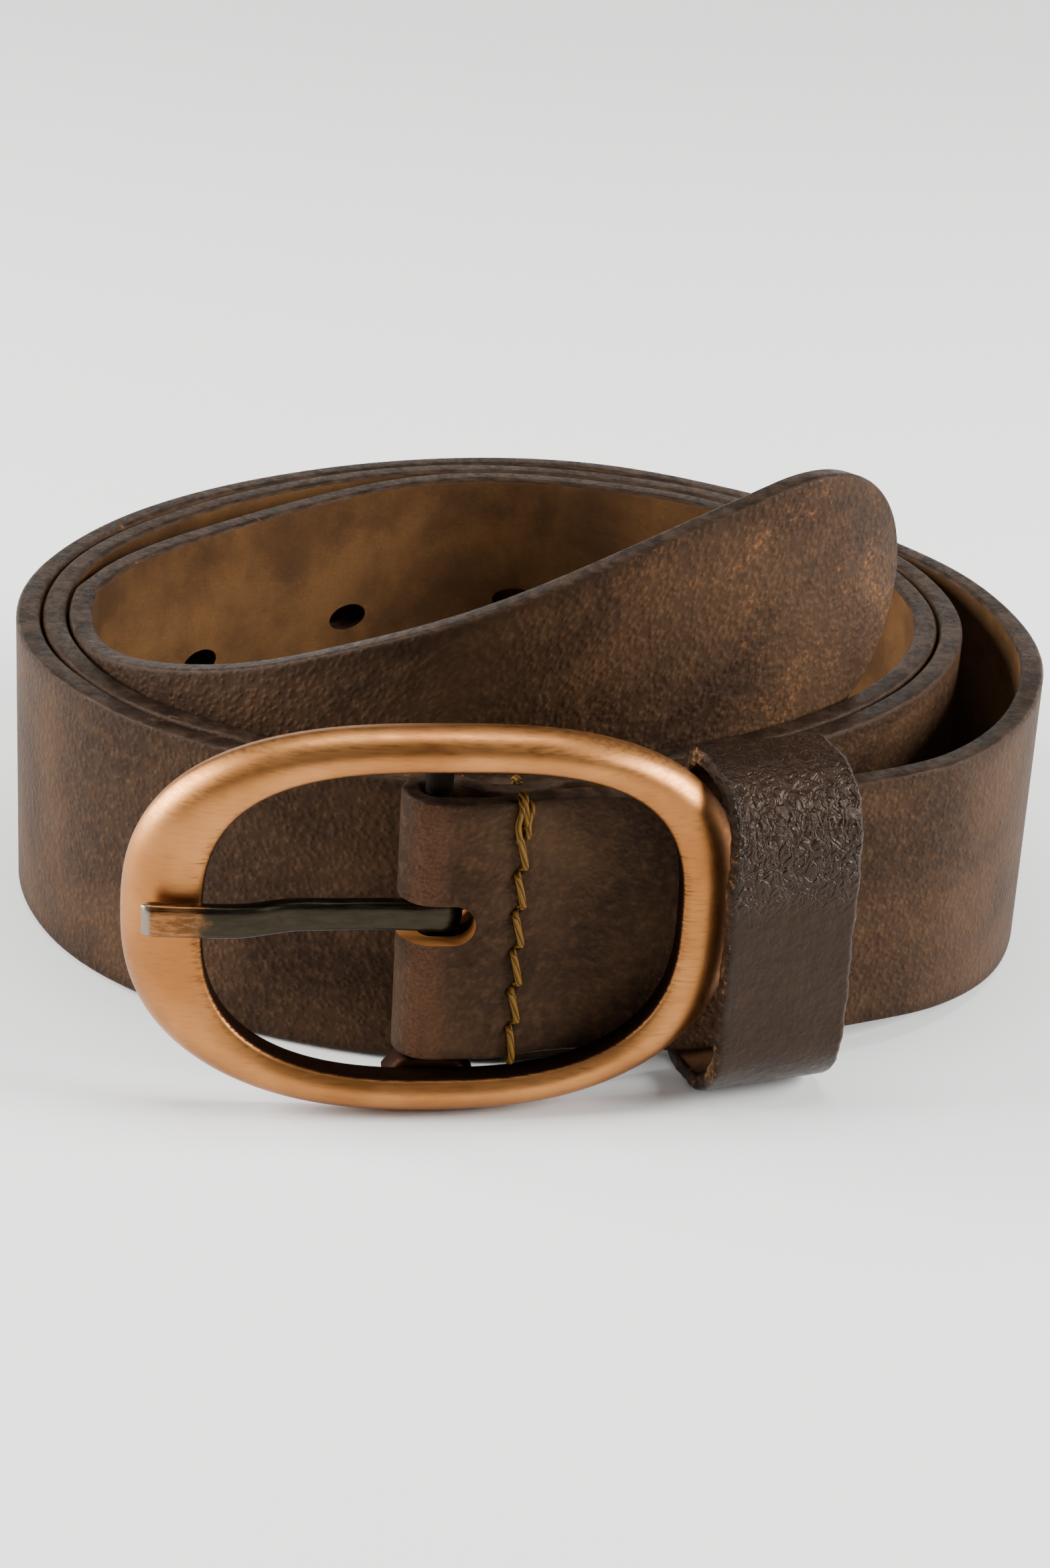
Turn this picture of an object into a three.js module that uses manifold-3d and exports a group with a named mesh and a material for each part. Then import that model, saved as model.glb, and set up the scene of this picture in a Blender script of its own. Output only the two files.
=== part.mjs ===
// A leather dress belt, rolled up and standing on the edge of its strap.
// Millimetres, +Z up. The coil is rolled about a vertical line, the buckle end
// is at the front (-Y), and the strap's lower edge stands on z = 0.
import * as THREE from 'three';
import { mergeVertices } from 'three/addons/utils/BufferGeometryUtils.js';
import { ParametricGeometry } from 'three/addons/geometries/ParametricGeometry.js';
import Module from 'manifold-3d';

const wasm = await Module();
wasm.setup();

// ---- driving dimensions -------------------------------------------------
const STRAP_WIDTH = 40;
const BUCKLE_END_WIDTH = 36;    // it narrows a little to pass the buckle and keeper
const STRAP_THICK = 3.2;
const SKIVED_THICK = 2.6;       // the folded end is pared thinner before it is turned
const FLAP_END_THICK = 1.4;
const WRAP_PITCH = 3.6;         // from one wrap of the coil to the next
const COIL_CENTRE = new THREE.Vector2(-1, 15);
const COIL_START_DEG = -34;     // where the buckle end has joined the round of the coil
const COIL_END_DEG = 1064;      // the tip: three full turns further and a bit
// Where the wraps stand off from the one outside them: from which full turn on,
// at which angle, how far it takes to open and close again, and how deep.
const SLACK_SPOTS = [
  { turn: 1, at: -30, before: 80, after: 68, depth: 11.2 },
  { turn: 2, at: 148, before: 52, after: 42, depth: 4.3 },
];
const TIP_RISE = 34.5;          // the tip has ridden up out of the coil
const RISE_FROM = 142;          // it starts to rise this far from its end ...
const RISE_TO = 8;              // ... and is level again here
const TIP_LENGTH = 27;          // length of its rounded end

const BAR_AT = new THREE.Vector2(-10.4, -51.2);
const BUCKLE_TURN_DEG = 8;      // the buckle end isn't square to the X axis
const BUCKLE_LIFT = 6.8;        // strap's lower edge above the ground at the buckle
const KEEPER_LIFT = 3.4;        // and at the keeper
const BAR_RADIUS = 1.75;
const BAR_LENGTH = 45;
const BAR_GAP = 0.3;
const FOLD_RADIUS = BAR_RADIUS + BAR_GAP + SKIVED_THICK;

const FRAME_LENGTH = 77;
const FRAME_HEIGHT = 52.6;
const FRAME_MIDDLE = 26.4;      // height of its middle when its lower rail is on the ground
const FRAME_THICK = 4.6;
const FRAME_BACK = -2.7;        // back of the rails, measured from the bar's centre
const FRAME_BOW = 180;          // radius to which the frame is bent back along its length
const RAIL_WIDTH = 5.2;
const LEFT_RIM = 9.8;
const RIGHT_RIM = 8;
const OUTER_POWER = 2.5;        // how square the frame's outer and inner ovals are
const INNER_POWER = 2.8;
const FOOT_LENGTH = 11.5;
const FOOT_DEPTH = 5.2;

const PRONG_WIDTH = 3.8;
const PRONG_THICK = 2.6;
const PRONG_TIP_THICK = 2.2;
const PRONG_TILT = 0.045;       // it sits slack in its slot, tip a little high
const PRONG_REACH = 36.2;
const PRONG_LOOP_RADIUS = 3.6;
const PRONG_BORE_RADIUS = BAR_RADIUS + 0.25;

const SLOT_HEIGHT = 5;
const SLOT_REACH = 4.8;         // how far each end of the slot passes the bar
const HOLE_LONG = 7;
const HOLE_SHORT = 4;
const HOLE_PITCH = 30;
const HOLE_COUNT = 5;
const FIRST_HOLE = 152;         // from the end of the tip

const BEHIND_RIM_X = 30;        // where the strap lies behind the frame's right rim, from the bar
const BEHIND_RIM_Y = 2.0;
const BEHIND_RIM_DEG = 13;

const SEAM_REACH = 10.2;        // the seam that closes the fold, from the bar's centre
const FLAP_PAST_SEAM = 12;
const LAYER_GAP = 0.3;
const STITCH_PITCH = 5.95;
const STITCH_HOLES = 6;
const STITCH_HOLE_RADIUS = 1.0;
const THREAD_RADIUS = 0.4;
const THREAD_GAP = 0.2;

const KEEPER_WIDTH = 18;
const KEEPER_THICK = 2.4;
const KEEPER_HEIGHT = 45.6;
const KEEPER_BOTTOM = 0.2;
const KEEPER_FRONT_GAP = 8.6;   // room in front of the strap for the buckle's end
const KEEPER_BACK_GAP = 1.4;
const KEEPER_CORNER = 5;
const KEEPER_PAST_BAR = 42.9;   // distance along the strap from the bar to its middle
const KEEPER_SEAM_GAP = 0.4;

const COLOURS = {
  strap: 0x4a372b, keeper: 0x3c2a20, copper: 0xb9824f, bronze: 0x3f3a2c, thread: 0x94702f,
};

// ---- small helpers ------------------------------------------------------
const rad = THREE.MathUtils.degToRad;

/** Smooth step from 0 at a to 1 at b. */
const ease = (a, b, x) => THREE.MathUtils.smoothstep(x, a, b);

/** A closed three.js geometry as a manifold solid. */
function solid(geometry) {
  const bare = geometry.clone();
  bare.deleteAttribute('normal');
  bare.deleteAttribute('uv');
  const merged = mergeVertices(bare, 1e-4);
  return new wasm.Manifold(new wasm.Mesh({
    numProp: 3,
    vertProperties: Float32Array.from(merged.attributes.position.array),
    triVerts: Uint32Array.from(merged.index.array),
  }));
}

/** A manifold solid as a three.js geometry. */
function surface(manifold) {
  const mesh = manifold.getMesh();
  const geometry = new THREE.BufferGeometry();
  geometry.setAttribute('position', new THREE.BufferAttribute(mesh.vertProperties, 3));
  geometry.setIndex(new THREE.BufferAttribute(mesh.triVerts, 1));
  return geometry;
}

/** Moves every vertex of a geometry by a function of its old place. */
function reshape(geometry, move) {
  const place = geometry.attributes.position;
  for (let i = 0; i < place.count; i += 1) {
    const p = move(new THREE.Vector3().fromBufferAttribute(place, i));
    place.setXYZ(i, p.x, p.y, p.z);
  }
  geometry.computeVertexNormals();
  return geometry;
}

/** One named sub-part. */
function part(name, geometry, colour, roughness, metalness) {
  const mesh = new THREE.Mesh(
    geometry,
    new THREE.MeshStandardMaterial({ color: colour, roughness, metalness }),
  );
  mesh.name = name;
  return mesh;
}

/** A prism: a shape in XY, centred in depth on z = 0. */
function prism(shape, depth, curveSegments = 8) {
  const geometry = new THREE.ExtrudeGeometry(shape, { depth, bevelEnabled: false, curveSegments });
  return geometry.translate(0, 0, -depth / 2);
}

/** A round thread along a curve. */
function threadAlong(curve, radius, steps) {
  const round = new THREE.Shape().absarc(0, 0, radius, 0, 2 * Math.PI);
  return new THREE.ExtrudeGeometry(round, { steps, extrudePath: curve, curveSegments: 3, bevelEnabled: false });
}

// ---- the strap's route --------------------------------------------------
// Every station is a point of the grain face in plan, with the height of the
// strap's lower edge. The flesh side lies to the left of the direction of travel.

/** From the buckle's own axes (x along the strap, y to the back) to the plan. */
function fromBuckle(x, y) {
  return new THREE.Vector2(x, y).rotateAround(new THREE.Vector2(), rad(BUCKLE_TURN_DEG)).add(BAR_AT);
}

/** How far a wrap has slackened inwards at an angle in degrees. */
function slackAt(deg) {
  const turn = Math.floor((deg + 180) / 360);
  let slack = 0;
  for (const spot of SLACK_SPOTS) {
    const away = deg - 360 * turn - spot.at;
    const reach = away < 0 ? spot.before : spot.after;
    if (turn >= spot.turn && Math.abs(away) < reach) slack += spot.depth * Math.cos(rad(90 * away / reach)) ** 2;
  }
  return slack;
}

/** Radius of the coil's grain face: an oval of a few waves that tightens by one pitch a turn. */
function coilRadius(deg) {
  const a = rad(deg);
  const oval = 67.7 + 4.29 * Math.cos(2 * a) - 0.86 * Math.sin(a) - 0.47 * Math.cos(a)
    - 1.85 * Math.sin(3 * a) + 0.43 * Math.cos(4 * a);
  return oval - WRAP_PITCH * (deg + 90) / 360 - slackAt(deg);
}

/** Point of the coil's grain face at an angle in degrees. */
function coilPoint(deg) {
  return new THREE.Vector2(coilRadius(deg), 0).rotateAround(new THREE.Vector2(), rad(deg)).add(COIL_CENTRE);
}

/** The strap from the fold to the coil: it dips behind the buckle's right rim, then swings round. */
function leadCurve() {
  const join = coilPoint(COIL_START_DEG);
  const tangent = coilPoint(COIL_START_DEG + 1).sub(join).normalize();
  const dip = rad(BEHIND_RIM_DEG);
  const behind = (x) => fromBuckle(BEHIND_RIM_X + x, BEHIND_RIM_Y + x * Math.tan(dip));
  const lead = new THREE.CurvePath();
  lead.add(new THREE.CubicBezierCurve(
    fromBuckle(SLOT_REACH, -FOLD_RADIUS), fromBuckle(10.5, -FOLD_RADIUS), behind(-15), behind(0),
  ));
  lead.add(new THREE.CubicBezierCurve(behind(0), behind(14), join.clone().addScaledVector(tangent, -12), join));
  return lead;
}

/** The flap: it lies against the flesh side of the front layer and is sewn to it. */
function flapPoints(lead) {
  const length = lead.getLength();
  return [23, 20, 17, 14, 11].map((reach) => {
    const u = (reach - SLOT_REACH) / length;
    const along = lead.getTangentAt(u);
    const depth = thicknessAt(reach) + LAYER_GAP + (reach > 18 ? FLAP_END_THICK : SKIVED_THICK);
    return lead.getPointAt(u).add(new THREE.Vector2(-along.y, along.x).multiplyScalar(depth));
  });
}

/** The plan route, from the end of the turned-in flap to the tip. */
function planRoute() {
  const R = FOLD_RADIUS;
  const lead = leadCurve();
  const points = flapPoints(lead);
  const sewn = points[points.length - 1];
  const ahead = sewn.clone().sub(points[points.length - 2]).normalize();
  points.push(...new THREE.CubicBezierCurve(
    sewn, sewn.clone().addScaledVector(ahead, 4), fromBuckle(SEAM_REACH * 0.45, R), fromBuckle(0, R),
  ).getSpacedPoints(8).slice(1));
  const arcSteps = 12;
  for (let i = 1; i <= arcSteps; i += 1) {
    const a = Math.PI / 2 + Math.PI * i / arcSteps;
    points.push(fromBuckle(R * Math.cos(a), R * Math.sin(a)));
  }
  const bar = points.length - 1;
  points.push(...lead.getSpacedPoints(20));
  const stepDeg = 4;
  for (let deg = COIL_START_DEG + stepDeg; deg <= COIL_END_DEG; deg += stepDeg) points.push(coilPoint(deg));
  return { points, bar };
}

/** Thickness of the leather at a distance past the bar (negative on the flap). */
function thicknessAt(pastBar) {
  if (pastBar >= 0) return THREE.MathUtils.lerp(SKIVED_THICK, STRAP_THICK, ease(3, 30, pastBar));
  const fold = Math.PI * FOLD_RADIUS + SEAM_REACH;
  return THREE.MathUtils.lerp(SKIVED_THICK, FLAP_END_THICK, ease(fold, fold + FLAP_PAST_SEAM, -pastBar));
}

/** Stations with running length s, lower edge z, and outward normal. */
function makeRoute() {
  const { points, bar } = planRoute();
  let s = 0;
  const stations = points.map((p, i) => {
    if (i > 0) s += p.distanceTo(points[i - 1]);
    const before = points[Math.max(i - 1, 0)];
    const after = points[Math.min(i + 1, points.length - 1)];
    const along = after.clone().sub(before).normalize();
    return { p, s, normal: new THREE.Vector2(along.y, -along.x) };
  });
  const barS = stations[bar].s;
  for (const station of stations) {
    station.pastBar = station.s - barS;
    station.z = lowerEdge(station.pastBar, s - barS);
  }
  return { stations, length: s, barS };
}

/** Height of the strap's lower edge: held up at the buckle, rising again to the tip. */
function lowerEdge(pastBar, whole) {
  const buckle = (BUCKLE_LIFT - KEEPER_LIFT) * (1 - ease(12, 40, pastBar));
  const keeper = KEEPER_LIFT * (1 - ease(55, 98, pastBar));
  const tip = TIP_RISE * ease(whole - RISE_FROM, whole - RISE_TO, pastBar);
  return buckle + keeper + tip;
}

const ROUTE = makeRoute();

/** Point of the leather: s along it, w up from its lower edge, t from 0 (grain) to -1 (flesh). */
function leatherPoint(s, w, t) {
  const { stations, barS } = ROUTE;
  let i = 1;
  while (i < stations.length - 1 && stations[i].s < s) i += 1;
  const a = stations[i - 1];
  const b = stations[i];
  const k = (s - a.s) / (b.s - a.s);
  const p = a.p.clone().lerp(b.p, k);
  const normal = a.normal.clone().lerp(b.normal, k).normalize();
  p.addScaledVector(normal, t * thicknessAt(s - barS));
  return new THREE.Vector3(p.x, p.y, THREE.MathUtils.lerp(a.z, b.z, k) + w * narrowing(s - barS));
}

/** The strap's width at a distance past the bar, as a share of its full width. */
function narrowing(pastBar) {
  return THREE.MathUtils.lerp(BUCKLE_END_WIDTH / STRAP_WIDTH, 1, ease(56, 110, pastBar));
}

// ---- strap --------------------------------------------------------------

/** The flat blank: one row of cells between stations, its far end cut to the round tip. */
function flatBlank() {
  const { stations, length } = ROUTE;
  const rows = stations.length - 1;
  const box = new THREE.BoxGeometry(rows, STRAP_WIDTH, 1, rows, 1, 1);
  reshape(box, (p) => new THREE.Vector3(
    stations[Math.round(p.x + rows / 2)].s, p.y + STRAP_WIDTH / 2, p.z - 0.5,
  ));
  const half = STRAP_WIDTH / 2;
  const margin = 5;
  const outline = new THREE.Shape();
  outline.moveTo(-margin, -margin);
  outline.lineTo(length - TIP_LENGTH, -margin).lineTo(length - TIP_LENGTH, 0);
  outline.absellipse(length - TIP_LENGTH, half, TIP_LENGTH, half, -Math.PI / 2, Math.PI / 2, false);
  outline.lineTo(length - TIP_LENGTH, STRAP_WIDTH + margin).lineTo(-margin, STRAP_WIDTH + margin);
  return solid(box).intersect(solid(prism(outline, 4, 16)));
}

/** A cutter through the flat blank. */
function punch(shape, s, w) {
  return solid(prism(shape, 4, 6).translate(s, w, 0));
}

/** Runs of the fold: where on the strap the seam's two rows of holes lie. */
function seamStations() {
  return { front: ROUTE.barS + SEAM_REACH, back: FLAP_PAST_SEAM };
}

/** Height above the lower edge of stitch hole k. */
const stitchHeight = (k) => 5.4 + STITCH_PITCH * k;

function strapGeometry() {
  let blank = flatBlank();
  const oval = new THREE.Shape().absellipse(0, 0, HOLE_LONG / 2, HOLE_SHORT / 2, 0, 2 * Math.PI);
  for (let i = 0; i < HOLE_COUNT; i += 1) {
    const s = ROUTE.length - FIRST_HOLE - HOLE_PITCH * i;
    blank = blank.subtract(punch(oval, s, STRAP_WIDTH / 2));
  }
  const round = new THREE.Shape().absarc(0, 0, STITCH_HOLE_RADIUS, 0, 2 * Math.PI);
  const { front, back } = seamStations();
  for (let k = 0; k < STITCH_HOLES; k += 1) {
    blank = blank.subtract(punch(round, front, stitchHeight(k)));
    blank = blank.subtract(punch(round, back, stitchHeight(k)));
  }
  const bent = reshape(surface(blank), (p) => leatherPoint(p.x, p.y, p.z));
  return surface(solid(bent).subtract(prongSlot()));
}

/** Cutter for the prong's slot: it opens the fold and both layers beside it. */
function prongSlot() {
  const r = SLOT_HEIGHT / 2;
  const clear = FOLD_RADIUS + 1;
  const shape = new THREE.Shape();
  shape.moveTo(-clear, -r).lineTo(SLOT_REACH - r, -r);
  shape.absarc(SLOT_REACH - r, 0, r, -Math.PI / 2, Math.PI / 2, false).lineTo(-clear, r);
  const cutter = prism(shape, 2 * clear).rotateX(Math.PI / 2).rotateZ(rad(BUCKLE_TURN_DEG));
  return solid(cutter.translate(BAR_AT.x, BAR_AT.y, FRAME_MIDDLE));
}

// ---- the seam that closes the fold --------------------------------------

/** A point a few millimetres proud of the grain face (negative: into the leather). */
function offGrain(s, w, proud) {
  return leatherPoint(s, w, proud / thicknessAt(s - ROUTE.barS));
}

/** One of the two threads: long stitches on the grain face, dipping into each hole. */
function seamThreadGeometry(s) {
  const points = [];
  const edge = THREAD_RADIUS + THREAD_GAP;
  const at = (w, proud) => points.push(offGrain(s, w, proud));
  at(-edge, -1.4);
  at(-edge, -0.2);
  at(-0.45, 0.45);
  at(0.4, edge);
  for (let k = 0; k < STITCH_HOLES; k += 1) {
    const w = stitchHeight(k);
    at(w - 1.7, edge);
    at(w - 0.75, 0.3);
    at(w, -0.15);
    at(w + 0.75, 0.3);
    at(w + 1.7, edge);
  }
  at(STRAP_WIDTH - 0.4, edge);
  at(STRAP_WIDTH + 0.45, 0.45);
  at(STRAP_WIDTH + edge, -0.2);
  at(STRAP_WIDTH + edge, -1.4);
  return threadAlong(new THREE.CatmullRomCurve3(points, false, 'centripetal'), THREAD_RADIUS, 96);
}

// ---- buckle frame -------------------------------------------------------
// Worked in the buckle's own axes: x along the strap, y to the back, z up from
// the strap's middle; placed by toBuckle.

/** A point of a rounded oval at angle a. */
function ovalPoint(halfLength, halfHeight, squareness, a) {
  const power = 2 / squareness;
  const c = Math.cos(a);
  const s = Math.sin(a);
  return [halfLength * Math.sign(c) * Math.abs(c) ** power, halfHeight * Math.sign(s) * Math.abs(s) ** power];
}

/** The rim's section, from the inner edge (k = 0) to the outer (k = 1): height over the back. */
const RIM_SECTION = [
  [0.12, 0], [0, 0.16], [0, 0.72], [0.12, 0.9], [0.38, 1], [0.66, 0.93], [0.88, 0.68], [1, 0.34], [0.95, 0],
];

function frameRing() {
  const innerLength = (FRAME_LENGTH - LEFT_RIM - RIGHT_RIM) / 2;
  const innerShift = (LEFT_RIM - RIGHT_RIM) / 2;
  const innerHeight = FRAME_HEIGHT / 2 - RAIL_WIDTH;
  const around = 72;
  const ring = new ParametricGeometry((u, v, target) => {
    const a = -2 * Math.PI * (u % 1);
    const [k, lift] = RIM_SECTION[Math.round(v * RIM_SECTION.length) % RIM_SECTION.length];
    const [ox, oz] = ovalPoint(FRAME_LENGTH / 2, FRAME_HEIGHT / 2, OUTER_POWER, a);
    const [ix, iz] = ovalPoint(innerLength, innerHeight, INNER_POWER, a);
    const x = THREE.MathUtils.lerp(ix + innerShift, ox, k);
    const z = THREE.MathUtils.lerp(iz, oz, k);
    target.set(x, FRAME_BACK - FRAME_THICK * lift, z);
  }, around, RIM_SECTION.length);
  return ring;
}

/** A cast foot that carries one end of the bar: a short wedge inside the rail. */
function footSolid(side) {
  const wide = FOOT_LENGTH / 2;
  const narrow = wide - 2.2;
  const inner = BUCKLE_END_WIDTH / 2 + 2;
  const outer = FRAME_HEIGHT / 2 - 3.6;
  const shape = new THREE.Shape();
  shape.moveTo(-narrow, inner).lineTo(narrow, inner).lineTo(wide, outer).lineTo(-wide, outer);
  const foot = prism(shape, FOOT_DEPTH).rotateX(Math.PI / 2).translate(0, -0.4, 0);
  if (side < 0) foot.rotateY(Math.PI);
  return solid(foot);
}

function frameGeometry() {
  let frame = solid(frameRing());
  for (const side of [1, -1]) frame = frame.add(footSolid(side));
  const socket = new THREE.CylinderGeometry(BAR_RADIUS + BAR_GAP, BAR_RADIUS + BAR_GAP, BAR_LENGTH + 0.6, 24);
  frame = frame.subtract(solid(socket.rotateX(Math.PI / 2)));
  return reshape(surface(frame), bowed);
}

/** The frame is bent back along its length to a large radius. */
function bowed(p) {
  return new THREE.Vector3(p.x, p.y + p.x * p.x / (2 * FRAME_BOW), p.z);
}

function barGeometry() {
  return new THREE.CylinderGeometry(BAR_RADIUS, BAR_RADIUS, BAR_LENGTH, 24).rotateX(Math.PI / 2);
}

// ---- prong --------------------------------------------------------------

function prongGeometry() {
  const r = PRONG_LOOP_RADIUS;
  const rootFront = -r;
  const rootBack = rootFront + PRONG_THICK;
  const tipBack = rimFront(PRONG_REACH - LEFT_RIM / 2) - 0.3;
  const tipFront = tipBack - PRONG_TIP_THICK;
  const shape = new THREE.Shape();
  const reach = -PRONG_REACH;
  shape.moveTo(0, rootFront);
  shape.absarc(0, 0, r, -Math.PI / 2, Math.PI - 0.2, false);
  shape.quadraticCurveTo(-6, rootBack, -12, rootBack - 0.6);
  shape.lineTo(reach + LEFT_RIM - 0.5, tipBack).lineTo(reach + 4, tipBack);
  shape.quadraticCurveTo(reach, tipBack, reach, (tipBack + tipFront) / 2);
  shape.quadraticCurveTo(reach, tipFront, reach + 4, tipFront);
  shape.lineTo(-12, rootFront - 0.6);
  shape.quadraticCurveTo(-6, rootFront, 0, rootFront);
  const bore = new THREE.Path().absarc(0, 0, PRONG_BORE_RADIUS, 0, 2 * Math.PI, true);
  shape.holes.push(bore);
  const bevel = 0.5;
  const geometry = new THREE.ExtrudeGeometry(shape, {
    depth: PRONG_WIDTH - 2 * bevel, bevelSize: bevel, bevelThickness: bevel, bevelOffset: -bevel,
    bevelSegments: 2, curveSegments: 10,
  });
  geometry.translate(0, 0, -PRONG_WIDTH / 2 + bevel);
  return reshape(geometry, (p) => new THREE.Vector3(p.x, p.y, p.z - p.x * PRONG_TILT));
}

/** Where the front of the frame's rim lies, at a distance from the bar. */
function rimFront(x) {
  return FRAME_BACK - FRAME_THICK + x ** 2 / (2 * FRAME_BOW);
}

// ---- keeper loop --------------------------------------------------------
// Worked in its own axes: x along the strap, y to the back, z up.

/** A rounded rectangle in (y, z) as a closed list of points, starting at the back's middle. */
function keeperLoopShape() {
  const front = -KEEPER_FRONT_GAP - KEEPER_THICK;
  const back = STRAP_THICK + KEEPER_BACK_GAP + KEEPER_THICK;
  const half = KEEPER_HEIGHT / 2;
  const outline = (inset, r) => {
    const [f, b, h] = [front + inset, back - inset, half - inset];
    const path = new THREE.Path();
    path.moveTo(b, KEEPER_SEAM_GAP / 2).lineTo(b, h - r).absarc(b - r, h - r, r, 0, Math.PI / 2, false);
    path.lineTo(f + r, h).absarc(f + r, h - r, r, Math.PI / 2, Math.PI, false);
    path.lineTo(f, -h + r).absarc(f + r, -h + r, r, Math.PI, 1.5 * Math.PI, false);
    path.lineTo(b - r, -h).absarc(b - r, -h + r, r, -Math.PI / 2, 0, false);
    path.lineTo(b, -KEEPER_SEAM_GAP / 2);
    return path.getPoints(6);
  };
  const outer = outline(0, KEEPER_CORNER);
  const inner = outline(KEEPER_THICK, KEEPER_CORNER - KEEPER_THICK).reverse();
  return new THREE.Shape([...outer, ...inner]);
}

/** Heights and places of the lacing holes at the keeper's joint. */
const LACE_X = [-6, -2, 2, 6];
const LACE_Z = 2;
const LACE_HOLE = 1.0;

function keeperGeometry() {
  const loop = prism(keeperLoopShape(), KEEPER_WIDTH);
  // shape's x is the keeper's y, shape's y is z, and the depth runs along the strap
  const turned = new THREE.Matrix4().makeBasis(
    new THREE.Vector3(0, 1, 0), new THREE.Vector3(0, 0, 1), new THREE.Vector3(1, 0, 0),
  );
  let keeper = solid(loop.applyMatrix4(turned));
  const back = STRAP_THICK + KEEPER_BACK_GAP + KEEPER_THICK / 2;
  for (const x of LACE_X) {
    for (const z of [-LACE_Z, LACE_Z]) {
      const hole = new THREE.CylinderGeometry(LACE_HOLE, LACE_HOLE, KEEPER_THICK + 1, 10).translate(x, back, z);
      keeper = keeper.subtract(solid(hole));
    }
  }
  return surface(keeper);
}

/** The lace that draws the keeper's two ends together. */
function keeperThreadGeometry() {
  const radius = 0.35;
  const inside = STRAP_THICK + KEEPER_BACK_GAP - radius - 0.12;
  const outside = STRAP_THICK + KEEPER_BACK_GAP + KEEPER_THICK + radius + 0.12;
  const points = [];
  LACE_X.forEach((x, i) => {
    const next = LACE_X[i + 1];
    points.push(new THREE.Vector3(x, inside, LACE_Z - 0.5));
    points.push(new THREE.Vector3(x, inside, -LACE_Z + 0.5));
    points.push(new THREE.Vector3(x, (inside + outside) / 2, -LACE_Z));
    if (next === undefined) return;
    points.push(new THREE.Vector3(x + 0.5, outside, -LACE_Z + 0.7));
    points.push(new THREE.Vector3(next - 0.5, outside, LACE_Z - 0.7));
    points.push(new THREE.Vector3(next, (inside + outside) / 2, LACE_Z));
  });
  const curve = new THREE.CatmullRomCurve3(points, false, 'centripetal');
  return threadAlong(curve, radius, 90);
}

// ---- assembly -----------------------------------------------------------
const belt = new THREE.Group();
belt.add(part('strap', strapGeometry(), COLOURS.strap, 0.55, 0));
const seam = seamStations();
belt.add(part('fold_thread_front', seamThreadGeometry(seam.front), COLOURS.thread, 0.7, 0));
belt.add(part('fold_thread_back', seamThreadGeometry(seam.back), COLOURS.thread, 0.7, 0));

const buckle = new THREE.Group();
buckle.add(part('buckle_frame', frameGeometry(), COLOURS.copper, 0.35, 1));
buckle.add(part('centre_bar', barGeometry(), COLOURS.copper, 0.4, 1));
buckle.add(part('prong', prongGeometry(), COLOURS.bronze, 0.4, 1));
buckle.position.set(BAR_AT.x, BAR_AT.y, FRAME_MIDDLE);
buckle.rotation.z = rad(BUCKLE_TURN_DEG);
belt.add(buckle);

const keeperS = ROUTE.barS + KEEPER_PAST_BAR;
const keeperAt = leatherPoint(keeperS, STRAP_WIDTH / 2, 0);
const keeperAhead = leatherPoint(keeperS + 1, STRAP_WIDTH / 2, 0).sub(leatherPoint(keeperS - 1, STRAP_WIDTH / 2, 0));
const keeper = new THREE.Group();
keeper.add(part('keeper_loop', keeperGeometry(), COLOURS.keeper, 0.45, 0));
keeper.add(part('keeper_thread', keeperThreadGeometry(), COLOURS.thread, 0.7, 0));
keeper.position.set(keeperAt.x, keeperAt.y, KEEPER_HEIGHT / 2 + KEEPER_BOTTOM);
keeper.rotation.z = Math.atan2(keeperAhead.y, keeperAhead.x);
belt.add(keeper);

// The origin is on the ground, under the middle of the whole.
const overall = new THREE.Box3().setFromObject(belt, true);
const middle = overall.getCenter(new THREE.Vector3());
belt.position.set(-middle.x, -middle.y, -overall.min.z);

export default belt;
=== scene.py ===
# %% [markdown]
# # A leather belt, rolled up and standing on its edge
#
# The belt is a strip of waxed leather, folded round the bar of an oval buckle and rolled up three
# turns and a bit. The fixed frame gives the size and place of every piece, so each new surface here is
# worked out in the same millimetres. Everything is a surface of two parameters: where along, and where
# around.

# %% Load the fixed frame
import math
import bpy
import numpy as np
from mathutils import Matrix, Vector


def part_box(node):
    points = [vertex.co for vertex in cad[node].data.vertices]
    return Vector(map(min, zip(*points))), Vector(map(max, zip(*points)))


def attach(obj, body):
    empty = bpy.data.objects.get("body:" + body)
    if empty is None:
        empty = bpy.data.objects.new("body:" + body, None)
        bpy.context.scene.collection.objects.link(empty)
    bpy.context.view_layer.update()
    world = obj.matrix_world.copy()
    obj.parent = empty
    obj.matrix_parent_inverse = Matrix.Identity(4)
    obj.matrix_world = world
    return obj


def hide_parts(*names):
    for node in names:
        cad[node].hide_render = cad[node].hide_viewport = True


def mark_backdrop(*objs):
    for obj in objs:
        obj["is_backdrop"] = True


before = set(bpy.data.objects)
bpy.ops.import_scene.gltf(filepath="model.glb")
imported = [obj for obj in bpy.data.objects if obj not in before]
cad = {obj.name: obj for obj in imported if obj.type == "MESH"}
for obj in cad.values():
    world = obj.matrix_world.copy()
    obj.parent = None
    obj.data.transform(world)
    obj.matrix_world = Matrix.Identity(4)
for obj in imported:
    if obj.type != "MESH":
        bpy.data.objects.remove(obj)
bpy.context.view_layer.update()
MM = 0.001

# %% [markdown]
# ## Tools of the bench
#
# A tube is a stack of closed rings. Each ring is joined to the next by one row of four-sided faces, so
# a strap, a rim, a prong and a thread are all the same kind of surface. The rings come as one numpy
# array, and the faces are worked out from their row and column numbers with no loop.

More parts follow.
